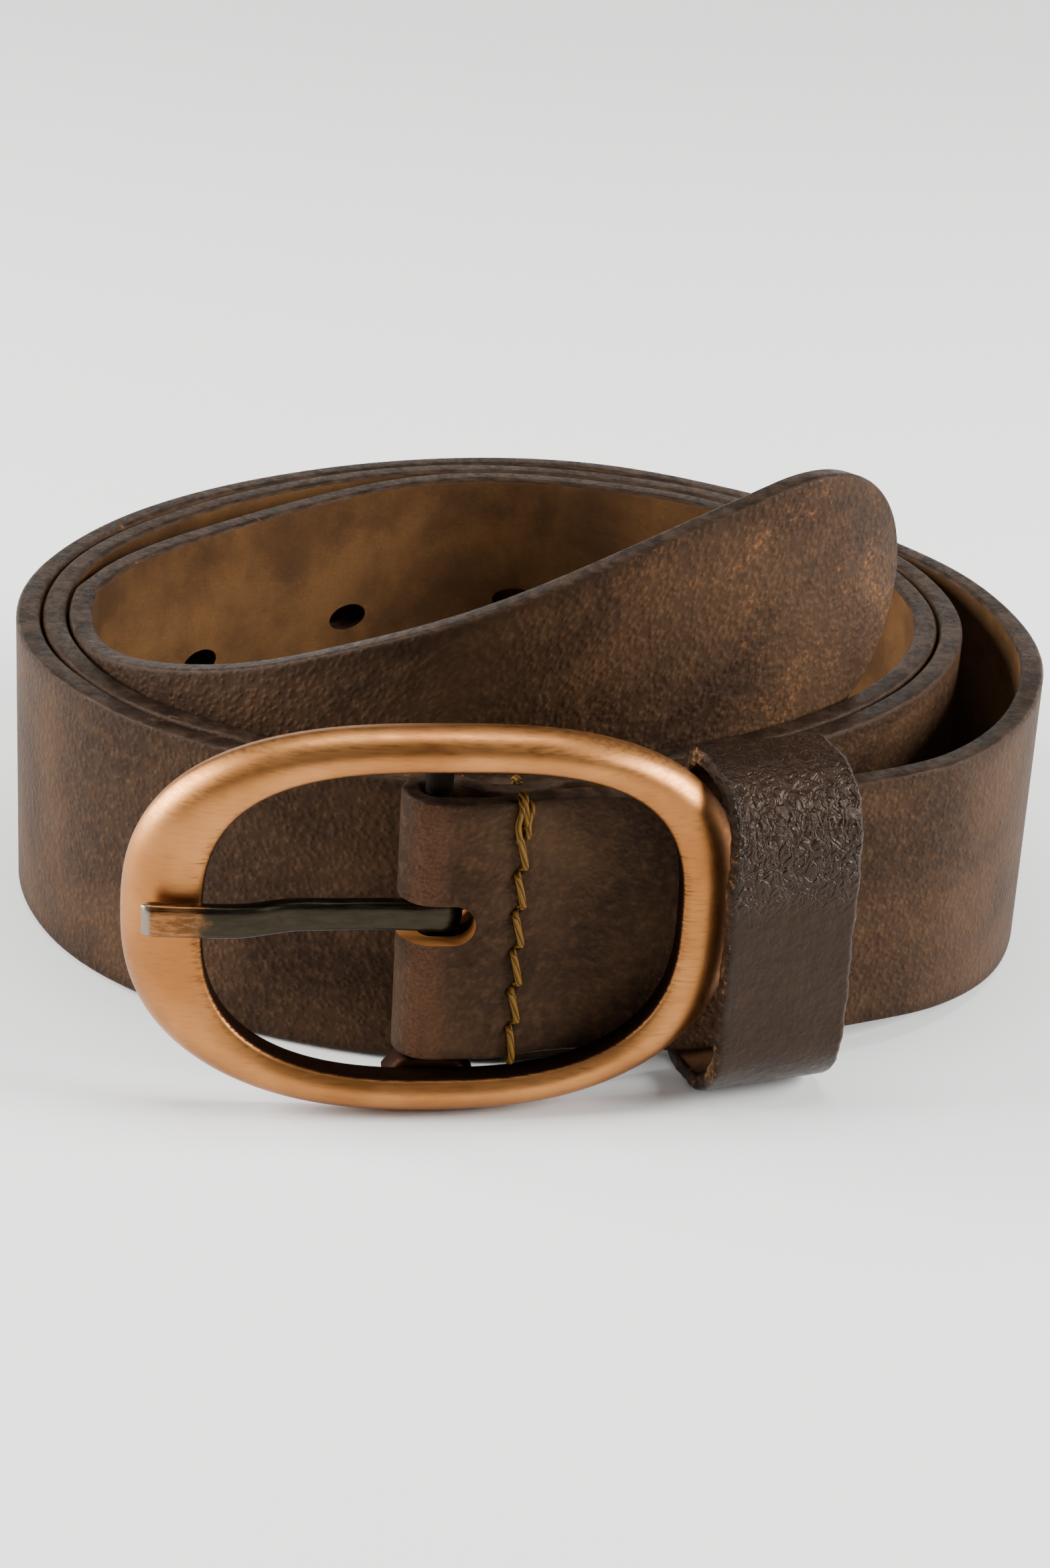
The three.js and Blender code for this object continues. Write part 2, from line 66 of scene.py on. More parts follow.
# %% Colours and smooth steps
def linear(code):
    """sRGB hex to linear light: below 0.04 divide by 12.92, above it the 2.4 power curve."""
    channel = np.array([int(code[i:i + 2], 16) for i in (1, 3, 5)]) / 255
    curve = ((channel + 0.055) / 1.055) ** 2.4
    return (*np.where(channel <= 0.04045, channel / 12.92, curve).tolist(), 1.0)


def ease(low, high, x):
    """Smooth step: 3t^2 - 2t^3 of the share t of the way from low to high."""
    t = np.clip((np.asarray(x, float) - low) / (high - low), 0, 1)
    return t * t * (3 - 2 * t)


def mix(a, b, t):
    """Straight blend from a to b."""
    return a + (b - a) * t


def bump_at(x, middle, reach):
    """Bell curve: e to the minus square of the distance from the middle in reaches."""
    return np.exp(-((x - middle) / reach) ** 2)


# %% Skin a stack of rings
def tube(name, rings, uv, body, replaced=(), paint=None, joined=False, sharp=40, marks=None):
    """Face (i, j) joins ring i and i + 1 at places j and j + 1. Open ends get one flat cap each.
    The sum of corner products gives the enclosed volume, and its sign says which way out is."""
    n, m = rings.shape[:2]
    i, j = np.arange(n if joined else n - 1)[:, None], np.arange(m)[None]
    corner = [(i, j), (i + 1, j), (i + 1, j + 1), (i, j + 1)]
    quads = np.stack([(a % n) * m + b % m for a, b in corner], -1).reshape(-1, 4)
    quad_uv = np.stack([uv[a + 0 * b, b + 0 * a] for a, b in corner], -2).reshape(-1, 4, 2)
    points = rings.reshape(-1, 3)
    volume = np.einsum("ij,ij->", points[quads[:, 0]], np.cross(points[quads[:, 1]], points[quads[:, 2]]))
    volume += np.einsum("ij,ij->", points[quads[:, 0]], np.cross(points[quads[:, 2]], points[quads[:, 3]]))
    caps, cap_uv = [], []
    if not joined:
        caps = [np.arange(m), np.arange(m)[::-1] + (n - 1) * m]
        cap_uv = [uv[0, :m], uv[n - 1, :m][::-1]]
    if volume < 0:
        quads, quad_uv = quads[:, ::-1], quad_uv[:, ::-1]
        caps, cap_uv = [c[::-1] for c in caps], [c[::-1] for c in cap_uv]
    mesh = bpy.data.meshes.new(name)
    mesh.from_pydata((points * MM).tolist(), [], quads.tolist() + [c.tolist() for c in caps])
    layer = mesh.uv_layers.new(name="along_and_across")
    flat = np.concatenate([quad_uv.reshape(-1, 2)] + list(cap_uv)) if caps else quad_uv.reshape(-1, 2)
    layer.data.foreach_set("uv", (flat * MM).astype(np.float32).ravel())
    rows = np.zeros(len(mesh.polygons), np.int32)
    if paint is not None:
        rows[:len(quads)] = np.broadcast_to(paint, (i.size, m)).ravel()
        rows[len(quads):] = 1
    mesh.polygons.foreach_set("material_index", rows)
    for mark, values in (marks or {}).items():
        layer = mesh.attributes.new(mark, "FLOAT", "POINT")
        layer.data.foreach_set("value", values.astype(np.float32).ravel())
    return finish_piece(name, mesh, body, replaced, sharp)


def finish_piece(name, mesh, body, replaced=(), sharp=40):
    """Smooth shading, split only where two faces meet at more than the sharp angle."""
    mesh.polygons.foreach_set("use_smooth", np.ones(len(mesh.polygons), bool))
    mesh.set_sharp_from_angle(angle=math.radians(sharp))
    piece = bpy.data.objects.new(name, mesh)
    bpy.context.scene.collection.objects.link(piece)
    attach(piece, body)
    if replaced:
        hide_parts(*replaced)
    print(name, len(mesh.polygons), "faces")
    return piece


def carve(piece, cutters, sharp=40):
    """Takes closed cutters out of a piece and keeps the result as its mesh."""
    for cutter in cutters:
        step = piece.modifiers.new("carve", "BOOLEAN")
        step.operation, step.solver, step.object = "DIFFERENCE", "MANIFOLD", cutter
        step.material_mode = "TRANSFER"
    graph = bpy.context.evaluated_depsgraph_get()
    result = bpy.data.meshes.new_from_object(piece.evaluated_get(graph))
    piece.modifiers.clear()
    piece.data = result
    for cutter in cutters:
        bpy.data.objects.remove(cutter)
    result.set_sharp_from_angle(angle=math.radians(sharp))
    print(piece.name, "carved to", len(result.polygons), "faces")


# %% [markdown]
# ## The route of the strap
#
# The strap is one ribbon: from the end of the flap it runs to the bar, half way round it, along the
# front, behind the buckle's right rim, and then round the coil to the tip. The coil's radius is an oval
# of a few slow waves that tightens by one pitch a turn. The route is the plan of the grain face; the
# leather lies on its inner side.

# %% Sizes of the strap, in millimetres
STRAP_WIDTH, BUCKLE_END_WIDTH, STRAP_THICK, SKIVED_THICK, FLAP_END_THICK = 40, 36, 3.2, 2.6, 1.4
WRAP_PITCH, COIL_CENTRE, COIL_START, COIL_END = 3.6, np.array([-1.0, 15.0]), -34, 1064
# A slack spot: from which turn on, at which angle, its reach before and after, and its depth.
SLACK_SPOTS = [(1, -30, 80, 68, 11.2), (2, 148, 52, 42, 4.3)]
TIP_RISE, RISE_FROM, RISE_TO, TIP_LENGTH = 34.5, 142, 8, 27
BAR_AT, BUCKLE_TURN = np.array([-10.4, -51.2]), math.radians(8)
BUCKLE_LIFT, KEEPER_LIFT = 6.8, 3.4
FOLD_RADIUS, SLOT_REACH, SLOT_HEIGHT, SLOT_ROOM, SLOT_DROP = 4.65, 4.8, 5.0, 0.2, 0.4
SEAM_REACH, BACK_SEAM, STITCH_PITCH, STITCHES, FIRST_STITCH = 10.2, 12.0, 5.95, 6, 5.4
THREAD_RADIUS, TACK_RADIUS = 0.44, 0.40
HOLES, HOLE_PITCH, HOLE_FROM_TIP, HOLE_LONG, HOLE_TALL = 5, 30, 152, 3.5, 2

bar_low, bar_high = (np.array(corner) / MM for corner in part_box("centre_bar"))
BAR_CENTRE = (bar_low + bar_high) / 2
SHIFT = BAR_CENTRE[:2] - BAR_AT
print("plan shift", np.round(SHIFT, 3), "bar centre", np.round(BAR_CENTRE, 3))


# %% The plan curve
def from_buckle(x, y):
    """Turns the buckle's own axes by its small angle and puts them at the bar."""
    x, y = np.broadcast_arrays(np.asarray(x, float), np.asarray(y, float))
    c, s = math.cos(BUCKLE_TURN), math.sin(BUCKLE_TURN)
    return np.stack([c * x - s * y, s * x + c * y], -1) + BAR_AT


def bezier(p0, p1, p2, p3, count=80):
    """Cubic Bezier: the four points weighted by the terms of ((1 - t) + t)^3."""
    t = np.linspace(0, 1, count)[:, None]
    return (1 - t) ** 3 * p0 + 3 * t * (1 - t) ** 2 * p1 + 3 * t * t * (1 - t) * p2 + t ** 3 * p3


def coil(deg):
    """Oval of slow cosine waves, less one pitch a turn, less a squared cosine hump where it is slack."""
    a = np.radians(deg)
    r = 67.7 + 4.29 * np.cos(2 * a) - 0.86 * np.sin(a) - 0.47 * np.cos(a)
    r = r - 1.85 * np.sin(3 * a) + 0.43 * np.cos(4 * a) - WRAP_PITCH * (deg + 90) / 360
    turn = np.floor((deg + 180) / 360)
    for first, at, before, after, depth in SLACK_SPOTS:
        away = deg - 360 * turn - at
        reach = np.where(away < 0, before, after)
        share = np.clip(np.abs(away) / reach, 0, 1)
        r = r - np.where(turn >= first, depth * np.cos(0.5 * np.pi * share) ** 2, 0)
    return COIL_CENTRE + np.stack([r * np.cos(a), r * np.sin(a)], -1)


def running(points):
    """Running length: the sum of the steps so far."""
    return np.concatenate([[0], np.cumsum(np.linalg.norm(np.diff(points, axis=0), axis=-1))])


def sideways(points):
    """Unit normal to the right of travel: the direction of travel turned by a quarter turn."""
    along = np.gradient(points, axis=0)
    along /= np.linalg.norm(along, axis=-1, keepdims=True)
    return np.stack([along[:, 1], -along[:, 0]], -1)


def lead_curve():
    """Two Beziers: off the fold and behind the right rim, then round to meet the coil."""
    join, onward = coil(np.array(COIL_START)), coil(np.array(COIL_START + 1))
    tangent = (onward - join) / np.linalg.norm(onward - join)
    slope = math.tan(math.radians(13))
    behind = lambda x: from_buckle(30 + x, 2 + x * slope)
    first = bezier(from_buckle(SLOT_REACH, -FOLD_RADIUS), from_buckle(10.5, -FOLD_RADIUS),
                   behind(-15), behind(0))
    second = bezier(behind(0), behind(14), join - 12 * tangent, join)
    return np.concatenate([first, second[1:]])


def flap_curve(lead):
    """The flap lies behind the front layer, one thickness and a little room off it."""
    reach = np.array([23.0, 20, 17, 14, 11])
    length = running(lead)
    depth = mix(SKIVED_THICK, STRAP_THICK, ease(3, 30, reach)) + 0.3
    depth += np.where(reach > 18, FLAP_END_THICK, SKIVED_THICK)
    at = lambda values: np.stack([np.interp(reach - SLOT_REACH, length, values[:, k]) for k in (0, 1)], -1)
    points = at(lead) - at(sideways(lead)) * depth[:, None]
    ahead = (points[-1] - points[-2]) / np.linalg.norm(points[-1] - points[-2])
    bend = bezier(points[-1], points[-1] + 4 * ahead, from_buckle(SEAM_REACH * 0.45, FOLD_RADIUS),
                  from_buckle(0, FOLD_RADIUS), 24)
    return np.concatenate([points[:-1], bend])


lead = lead_curve()
arc = np.linspace(0.5, 1.5, 40)[1:] * np.pi
fold = from_buckle(FOLD_RADIUS * np.cos(arc), FOLD_RADIUS * np.sin(arc))
flap = flap_curve(lead)
plan = np.concatenate([flap, fold, lead, coil(np.arange(COIL_START + 1, COIL_END + 0.5))])
route_s, route_side = running(plan), sideways(plan)
BAR_S, LENGTH = route_s[len(flap) + len(fold) - 1], route_s[-1]
WHOLE = LENGTH - BAR_S
print(f"strap {LENGTH:.1f} mm with its flap, {WHOLE:.1f} mm from bar to tip")


# %% [markdown]
# ## From flat leather to the rolled strap
#
# Anything on the strap, such as a hole or a stitch, is easiest to place on the flat strip: so far
# along, so far up from the lower edge, so far off the grain face. One function carries such points to
# their place in the roll, and every later piece that touches the leather uses it.

# %% Flat to rolled
def lower_edge(past):
    """Height of the lower edge: held up at the buckle and keeper, level, then rising to the tip."""
    buckle = (BUCKLE_LIFT - KEEPER_LIFT) * (1 - ease(12, 40, past))
    keeper = KEEPER_LIFT * (1 - ease(55, 98, past))
    return buckle + keeper + TIP_RISE * ease(WHOLE - RISE_FROM, WHOLE - RISE_TO, past)


def thickness(past):
    """Pared at the fold, full further on, and skived to a feather at the end of the flap."""
    fold_end = math.pi * FOLD_RADIUS + SEAM_REACH
    flap_side = mix(SKIVED_THICK, FLAP_END_THICK, ease(fold_end, fold_end + 12, -past))
    return np.where(past < 0, flap_side, mix(SKIVED_THICK, STRAP_THICK, ease(3, 30, past)))


def leather(s, w, off):
    """Plan point at running length s, moved off along the outward normal; height is w, narrowed."""
    s, w, off = np.broadcast_arrays(*(np.asarray(v, float) for v in (s, w, off)))
    plan_at = [np.interp(s, route_s, plan[:, k]) for k in (0, 1)]
    side = np.stack([np.interp(s, route_s, route_side[:, k]) for k in (0, 1)], -1)
    side /= np.linalg.norm(side, axis=-1, keepdims=True)
    past = s - BAR_S
    narrow = mix(BUCKLE_END_WIDTH / STRAP_WIDTH, 1, ease(56, 110, past))
    return np.stack([plan_at[0] + off * side[..., 0] + SHIFT[0], plan_at[1] + off * side[..., 1] + SHIFT[1],
                     lower_edge(past) + w * narrow], -1)


# %% [markdown]
# ## The strap
#
# Its section is a flat bar with softly burnished corners. The grain face is pressed in along the seam
# and at each stitch hole, and the edges waver by a tenth of a millimetre, as a hand-cut and sanded edge
# does. The holes are punched and the prong's slot is cut out of the finished ribbon. The walls of the
# holes are dyed like the edges; those of the slot show raw leather.

# %% Section and stations
def section(face_points, back_points, corner_points):
    """Closed section as (where across, front or back, corner cosine, corner sine), corners rounded."""
    front = np.linspace(-1, 1, face_points)[1:-1]
    back = np.linspace(1, -1, back_points)[1:-1]
    ring = [np.stack([front, 0 * front + 1, 0 * front, 0 * front + 1], -1)]
    for across, face, start in ((1, 1, 0.5), (1, -1, 0.0), (None, None, None), (-1, -1, 1.5), (-1, 1, 1.0)):
        if across is None:
            ring.append(np.stack([back, 0 * back - 1, 0 * back, 0 * back - 1], -1))
            continue
        a = np.pi * np.linspace(start, start - 0.5, corner_points)
        ring.append(np.stack([0 * a + across, 0 * a + face, np.cos(a), np.sin(a)], -1))
    return np.concatenate(ring)


def strap_stations():
    """Close steps at the fold, wider ones round the coil, and sine-spaced ones to the tip."""
    tip = LENGTH - TIP_LENGTH + TIP_LENGTH * np.sin(np.linspace(0, 0.985 * np.pi / 2, 44))
    return np.concatenate([np.arange(0, 72, 0.8), np.arange(72, LENGTH - TIP_LENGTH - 1, 2.0), tip])


RING = section(58, 22, 6)
stations = strap_stations()[:, None]
toward_tip = np.clip((stations - LENGTH + TIP_LENGTH) / TIP_LENGTH, 0, 1)
half = 0.5 * STRAP_WIDTH * np.sqrt(1 - toward_tip ** 2)
half = half - 0.10 * (1 + np.sin(stations / 7.3 + 2 * np.sin(stations / 31)))
thick = thickness(stations - BAR_S) * np.sqrt(1 - 0.6 * ease(LENGTH - 1.2, LENGTH, stations))
corner = np.minimum(0.75, np.minimum(0.9 * half, 0.42 * thick))
flat_w = STRAP_WIDTH / 2 + RING[:, 0] * (half - corner) + corner * RING[:, 2]
flat_off = -thick / 2 + RING[:, 1] * (thick / 2 - corner) + corner * RING[:, 3]
on_grain = (RING[:, 1] > 0) & (RING[:, 3] > 0.9)

# %% Seam dents
STITCH_W = FIRST_STITCH + STITCH_PITCH * np.arange(STITCHES)
FRONT_SEAM = BAR_S + SEAM_REACH
# This mask presses the grain in at each stitch hole, and the material also paints it nearly black as
# painted shade.
slit_dent_and_shade = np.zeros(flat_w.shape)
for seam_s in (FRONT_SEAM, BACK_SEAM):
    for w in STITCH_W:
        lengthwise = 0.62 * (stations - seam_s) + 0.78 * (flat_w - w)
        sideway = 0.78 * (stations - seam_s) - 0.62 * (flat_w - w)
        slit_dent_and_shade = np.maximum(slit_dent_and_shade, bump_at(lengthwise, 0, 1.15) * bump_at(sideway, 0, 0.62))
    flat_off = flat_off - np.where(on_grain, 0.14 * bump_at(stations, seam_s, 1.0), 0)
slit_dent_and_shade = np.where(on_grain, slit_dent_and_shade, 0)
flat_off = flat_off - 0.55 * slit_dent_and_shade
rings = leather(stations, flat_w, flat_off)
uv = np.stack(np.broadcast_arrays(stations, flat_w), -1)
uv = np.concatenate([uv, uv[:, :1]], 1)

# %% Skin the strap
def three_finishes(ring):
    """Finish of each face round the section: 0 grain, 2 flesh, 1 edge. Both its corners have to agree."""
    grain = (ring[:, 1] > 0) & (np.abs(ring[:, 2]) < 0.75) & (ring[:, 3] > 0.6)
    flesh = (ring[:, 1] < 0) & (np.abs(ring[:, 2]) < 0.4)
    return np.where(grain & np.roll(grain, -1), 0, np.where(flesh & np.roll(flesh, -1), 2, 1))


strap = tube("strap_leather", rings, uv, "belt", ["strap"], three_finishes(RING),
             marks={"slit_dent_and_shade": slit_dent_and_shade})

# %% [markdown]
# The holes are cut by curved plugs that follow the leather: an oval at two depths, carried to the roll
# by the same function. They stand a quarter of a millimetre proud of each face, so that they reach
# through this wrap and not into the next.

# %% Punch the holes and cut the slot
def plug(name, s, w, top, bottom):
    """A closed plug from an outline in (s, w), between two distances off the grain face."""
    rings = np.stack([leather(s, w, bottom), leather(s, w, top)])
    uv = np.broadcast_to(np.stack([s, w], -1), (2, len(s), 2))
    return tube(name, rings, np.concatenate([uv, uv[:, :1]], 1), "belt",
                paint=np.zeros(len(s), int))


around = np.linspace(0, 2 * np.pi, 40, endpoint=False)
plugs = []
for number in range(HOLES):
    s = LENGTH - HOLE_FROM_TIP - HOLE_PITCH * number + HOLE_LONG * np.cos(around)
    w = STRAP_WIDTH / 2 + HOLE_TALL * np.sin(around)
    plugs.append(plug(f"plug_{number}", s, w, 0.25, -STRAP_THICK - 0.22))

slot_turn = np.linspace(-0.5, 0.5, 16) * np.pi
slot_r, slot_left, slot_deep = SLOT_HEIGHT / 2 + SLOT_ROOM, -6.0, 5.7
slot_x = np.concatenate([[slot_left], SLOT_REACH - slot_r + slot_r * np.cos(slot_turn), [slot_left]])
slot_z = np.concatenate([[-slot_r], slot_r * np.sin(slot_turn), [slot_r]]) + BAR_CENTRE[2] - SLOT_DROP
ends = [np.concatenate([from_buckle(slot_x, y) + SHIFT, slot_z[:, None]], -1)
        for y in (-slot_deep, slot_deep)]
slot_uv = np.zeros((2, len(slot_x) + 1, 2))
slot_cutter = tube("slot_cutter", np.stack(ends), slot_uv, "belt")

# %% [markdown]
# ## Seam threads
#
# A waxed polyester thread, 0.9 mm through. It comes up out of one hole, lies over the leather with a
# slight slant, and goes down into the next; at the top it is worked over twice so that it can't run.
# A round thread carried along a curve is enough, because its twist can be drawn by the material.

# %% Threads
def round_along(points, radius, sides=10):
    """Rings across a path: each is a circle in the plane square to the direction of travel."""
    along = np.gradient(points, axis=0)
    along /= np.linalg.norm(along, axis=-1, keepdims=True)
    first = np.cross(along, np.array([0.3, 0.2, 1.0]))
    first /= np.linalg.norm(first, axis=-1, keepdims=True)
    second = np.cross(along, first)
    a = np.linspace(0, 2 * np.pi, sides, endpoint=False)
    radius = np.broadcast_to(np.asarray(radius, float), (len(points),))[:, None, None]
    ring = np.cos(a)[:, None] * first[:, None] + np.sin(a)[:, None] * second[:, None]
    return points[:, None] + radius * ring


def thread_uv(points, radius, sides=10):
    """Length along the thread, and the way round its skin."""
    length = running(points)[:, None] + np.zeros(sides + 1)
    return np.stack([length, np.linspace(0, 2 * np.pi * radius, sides + 1) + 0 * length], -1)


def through_points(a, b, c, d, steps):
    """Catmull-Rom from b to c: a cubic whose slopes are half the step between the points on each side."""
    t = np.linspace(0, 1, steps, endpoint=False)[None, :, None]
    a, b, c, d = a[:, None], b[:, None], c[:, None], d[:, None]
    curve = 0.5 * (2 * b + (c - a) * t + (2 * a - 5 * b + 4 * c - d) * t ** 2
                   + (3 * b - a - 3 * c + d) * t ** 3)
    return curve.reshape(-1, a.shape[-1])


def smooth_path(points, steps=8):
    """An open smooth line: the end points are mirrored to give the first and last slopes."""
    p = np.concatenate([2 * points[:1] - points[1:2], points, 2 * points[-1:] - points[-2:-1]])
    return np.concatenate([through_points(*(p[k:len(p) - 3 + k] for k in range(4)), steps), points[-1:]])


def seam_path(seam_s, slant=-0.42):
    """Flat places of the thread: up at the stitch, 1.3 mm into the leather at each hole."""
    spots = [(-0.5, -1.2, 0), (-0.45, -0.1, 0), (0.9, 0.30, 0)]
    for w in STITCH_W:
        spots += [(w - 1.35, 0.34, 0.8 * slant), (w - 0.62, 0.02, slant), (w, -1.3, 0)]
        spots += [(w + 0.62, 0.02, -slant), (w + 1.35, 0.34, -0.8 * slant)]
    spots += [(STRAP_WIDTH - 0.9, 0.30, 0), (STRAP_WIDTH + 0.35, -0.1, 0), (STRAP_WIDTH + 0.4, -1.2, 0)]
    w, off, aside = np.array(spots).T
    return smooth_path(leather(seam_s + aside, w, off))


threads = []
for seam_s, node in ((FRONT_SEAM, "fold_thread_front"), (BACK_SEAM, "fold_thread_back")):
    path = seam_path(seam_s)
    skin, skin_uv = round_along(path, THREAD_RADIUS), thread_uv(path, THREAD_RADIUS)
    threads.append(tube(node + "_stitches", skin, skin_uv, "belt", [node]))
for number, (aside, low, high) in enumerate(((-0.62, 33.8, 39.4), (0.66, 34.4, 39.2))):
    w = np.array([low - 0.2, low, low + 0.7, (low + high) / 2, high - 0.6, high, high + 0.1])
    off = np.array([-1.2, -0.1, 0.36, 0.42, 0.34, -0.1, -1.2])
    path = smooth_path(leather(FRONT_SEAM + aside + 0.25 * np.sin(w), w, off))
    skin, skin_uv = round_along(path, TACK_RADIUS), thread_uv(path, TACK_RADIUS)
    threads.append(tube(f"bar_tack_{number}", skin, skin_uv, "belt"))

# %% [markdown]
# ## The buckle's frame
#
# A cast oval, plated in antique copper and brushed. Its rim is domed on the front, falls steeply to the
# window, and is flat behind. Two superellipses give the window and the outside; the section is carried
# between them, so the rim is broad at the left, where the prong rests, and slim above and below.

# %% Frame
FRAME_LENGTH, FRAME_HEIGHT, FRAME_THICK, FRAME_BACK, FRAME_BOW = 77, 52.6, 4.6, -2.7, 180
RAIL_WIDTH, LEFT_RIM, RIGHT_RIM, OUTSIDE_SQUARENESS, WINDOW_SQUARENESS = 5.2, 9.8, 8, 2.5, 2.8
FRAME_STEPS = 320
# The rim's section: share of the way from window to outside, and share of the thickness.
RIM = np.array([(0.12, 0), (0.03, 0.05), (0, 0.16), (0, 0.66), (0.03, 0.80), (0.12, 0.9), (0.38, 1),
                (0.66, 0.93), (0.88, 0.68), (1, 0.34), (0.99, 0.1), (0.95, 0), (0.7, 0), (0.4, 0)])


def oval(half_length, half_height, squareness, a):
    """Superellipse: cosine and sine raised to 2 / squareness, signs kept."""
    power = 2 / squareness
    c, s = np.cos(a), np.sin(a)
    return (half_length * np.sign(c) * np.abs(c) ** power,
            half_height * np.sign(s) * np.abs(s) ** power)


def even_turns(count):
    """Angles that step evenly along the outer oval."""
    fine = np.linspace(0, 2 * np.pi, 4001)
    outside = oval(FRAME_LENGTH / 2, FRAME_HEIGHT / 2, OUTSIDE_SQUARENESS, fine)
    length = running(np.stack(outside, -1))
    return np.interp(np.linspace(0, length[-1], count, endpoint=False), length, fine), length[-1]


def in_buckle(x, y, z):
    """Bent back along its length to a large radius, then turned and put at the bar."""
    x, y, z = np.broadcast_arrays(x, y, z)
    spot = from_buckle(x, y + x * x / (2 * FRAME_BOW)) + SHIFT
    return np.concatenate([spot, (z + BAR_CENTRE[2])[..., None]], -1)


turns, rim_length = even_turns(FRAME_STEPS)
rim = through_points(*(np.roll(RIM, shift, axis=0) for shift in (1, 0, -1, -2)), 4)
outer_x, outer_z = oval(FRAME_LENGTH / 2, FRAME_HEIGHT / 2, OUTSIDE_SQUARENESS, turns)
inner_x, inner_z = oval((FRAME_LENGTH - LEFT_RIM - RIGHT_RIM) / 2, FRAME_HEIGHT / 2 - RAIL_WIDTH,
                        WINDOW_SQUARENESS, turns)
inner_x = inner_x + (LEFT_RIM - RIGHT_RIM) / 2
k, lift = rim[None, :, 0], rim[None, :, 1]
frame_rings = in_buckle(mix(inner_x[:, None], outer_x[:, None], k), FRAME_BACK - FRAME_THICK * lift,
                        mix(inner_z[:, None], outer_z[:, None], k))
frame_uv = np.stack(np.broadcast_arrays(np.linspace(0, rim_length, FRAME_STEPS + 1)[:, None],
                                        np.concatenate([rim[:, 0] * 6, rim[:1, 0] * 6])[None]), -1)
wall = np.clip(1 - k / 0.10, 0, 1) * ease(1.0, 0.72, lift) + 0 * turns[:, None]
# Painted shade: darker along the window's inner edge, most at the left and right, where shade falls between
# the rim and the leather.
inner_lip_shade = 0.42 * bump_at(k, 0.06, 0.16) * np.abs(np.cos(turns[:, None])) ** 0.6
behind = ease(0.12, 0.0, lift) + 0 * turns[:, None]
buckle = tube("buckle_frame_cast", frame_rings, frame_uv, "buckle", ["buckle_frame"], joined=True,
              sharp=60, marks={"patina_and_shade": np.maximum(np.maximum(wall, 0.6 * behind), inner_lip_shade)})


# %% Feet that carry the bar
def foot(name, side):
    """A wedge: a rounded rectangle that widens from its nose, near the strap, into the rail."""
    a = np.linspace(0, 2 * np.pi, 32, endpoint=False)
    flat_x, flat_y = oval(1, 1, 5, a)
    reach = np.array([20.0, 20.15, 20.5, 21.5, 22.7])
    grow = np.array([0.84, 0.95, 1.0, 1.0, 1.0])
    width = mix(3.55, 5.75, (reach - 20) / 2.7) * grow
    x, y = width[:, None] * flat_x, -0.4 + 2.6 * grow[:, None] * flat_y
    rings = in_buckle(x, y, side * reach[:, None] + 0 * x)
    uv = np.stack(np.broadcast_arrays(reach[:, None], np.linspace(0, 20, 33)[None]), -1)
    # The feet take the dark mark at 0.9: painted shade, for the shadow they sit in.
    return tube(name, rings, uv, "buckle", marks={"patina_and_shade": 0.9 + 0 * x})


feet = [foot("frame_foot_top", 1), foot("frame_foot_bottom", -1)]

# %% [markdown]
# ## The prong
#
# A single bronze tongue, about 4 mm wide. It rests on the left rim, where its tip is rubbed flat and
# bright, runs back to the bar, and is bent round it into an eye. One ribbon does it: a path in the
# buckle's level plane, with a rounded section whose width and thickness change on the way.

# %% Prong
EYE_RADIUS, PRONG_TILT = 2.82, 0.045
rim_front = lambda x: FRAME_BACK - FRAME_THICK + x ** 2 / (2 * FRAME_BOW)
tip_back = rim_front(36.2 - LEFT_RIM / 2) - 0.3
PRONG_PATH = np.array([(-36.15, tip_back - 1.05), (-34, tip_back - 1.12), (-30, tip_back - 1.1),
                       (-24, tip_back - 0.75), (-18, -3.62), (-12, -2.95), (-7, -2.45), (-3, -2.35),
                       (0, -2.62)])
eye = np.radians(np.linspace(-78, 168, 34))
eye_path = np.stack([EYE_RADIUS * np.cos(eye), EYE_RADIUS * np.sin(eye)], -1)
prong_plan = np.concatenate([smooth_path(PRONG_PATH, 14), eye_path])
prong_s = running(prong_plan)
prong_side = sideways(prong_plan)
from_tip = prong_s[:, None]
round_end = np.sqrt(np.clip(1 - np.clip((1.5 - from_tip) / 1.5, 0, 0.97) ** 2, 0, 1))
half_w = mix(2.15, 1.95, ease(8, 28, from_tip)) * (0.86 + 0.14 * round_end)
half_t = mix(1.1, 1.25, ease(4, 20, from_tip)) * round_end
half_t = mix(half_t, 0.76, ease(34.5, 37.5, from_tip))
half_t = half_t * np.sqrt(1 - 0.9 * ease(prong_s[-1] - 0.8, prong_s[-1], from_tip))
a = np.linspace(0, 2 * np.pi, 28, endpoint=False)
across, through = oval(1, 1, 3.4, a)
x = prong_plan[:, :1] + prong_side[:, :1] * half_t * through
y = prong_plan[:, 1:] + prong_side[:, 1:] * half_t * through
z = half_w * across - PRONG_TILT * prong_plan[:, :1]
spots = np.concatenate([from_buckle(x, y) + SHIFT, (z + BAR_CENTRE[2])[..., None]], -1)
prong_uv = np.stack(np.broadcast_arrays(from_tip, np.linspace(0, 10, 29)[None]), -1)
prong = tube("prong_tongue", spots, prong_uv, "prong", ["prong"])

# %% [markdown]
# ## The keeper
#
# A loop of the same leather, 18 mm wide, glossy from handling and crinkled where it was bent while wet.
# The path is a rounded rectangle that is open at the back by a hair, where a lace draws the two ends
# together; its front corners are rounder than its back ones. The crinkles are small waves in the
# surface itself, and finer ones are left to the material.

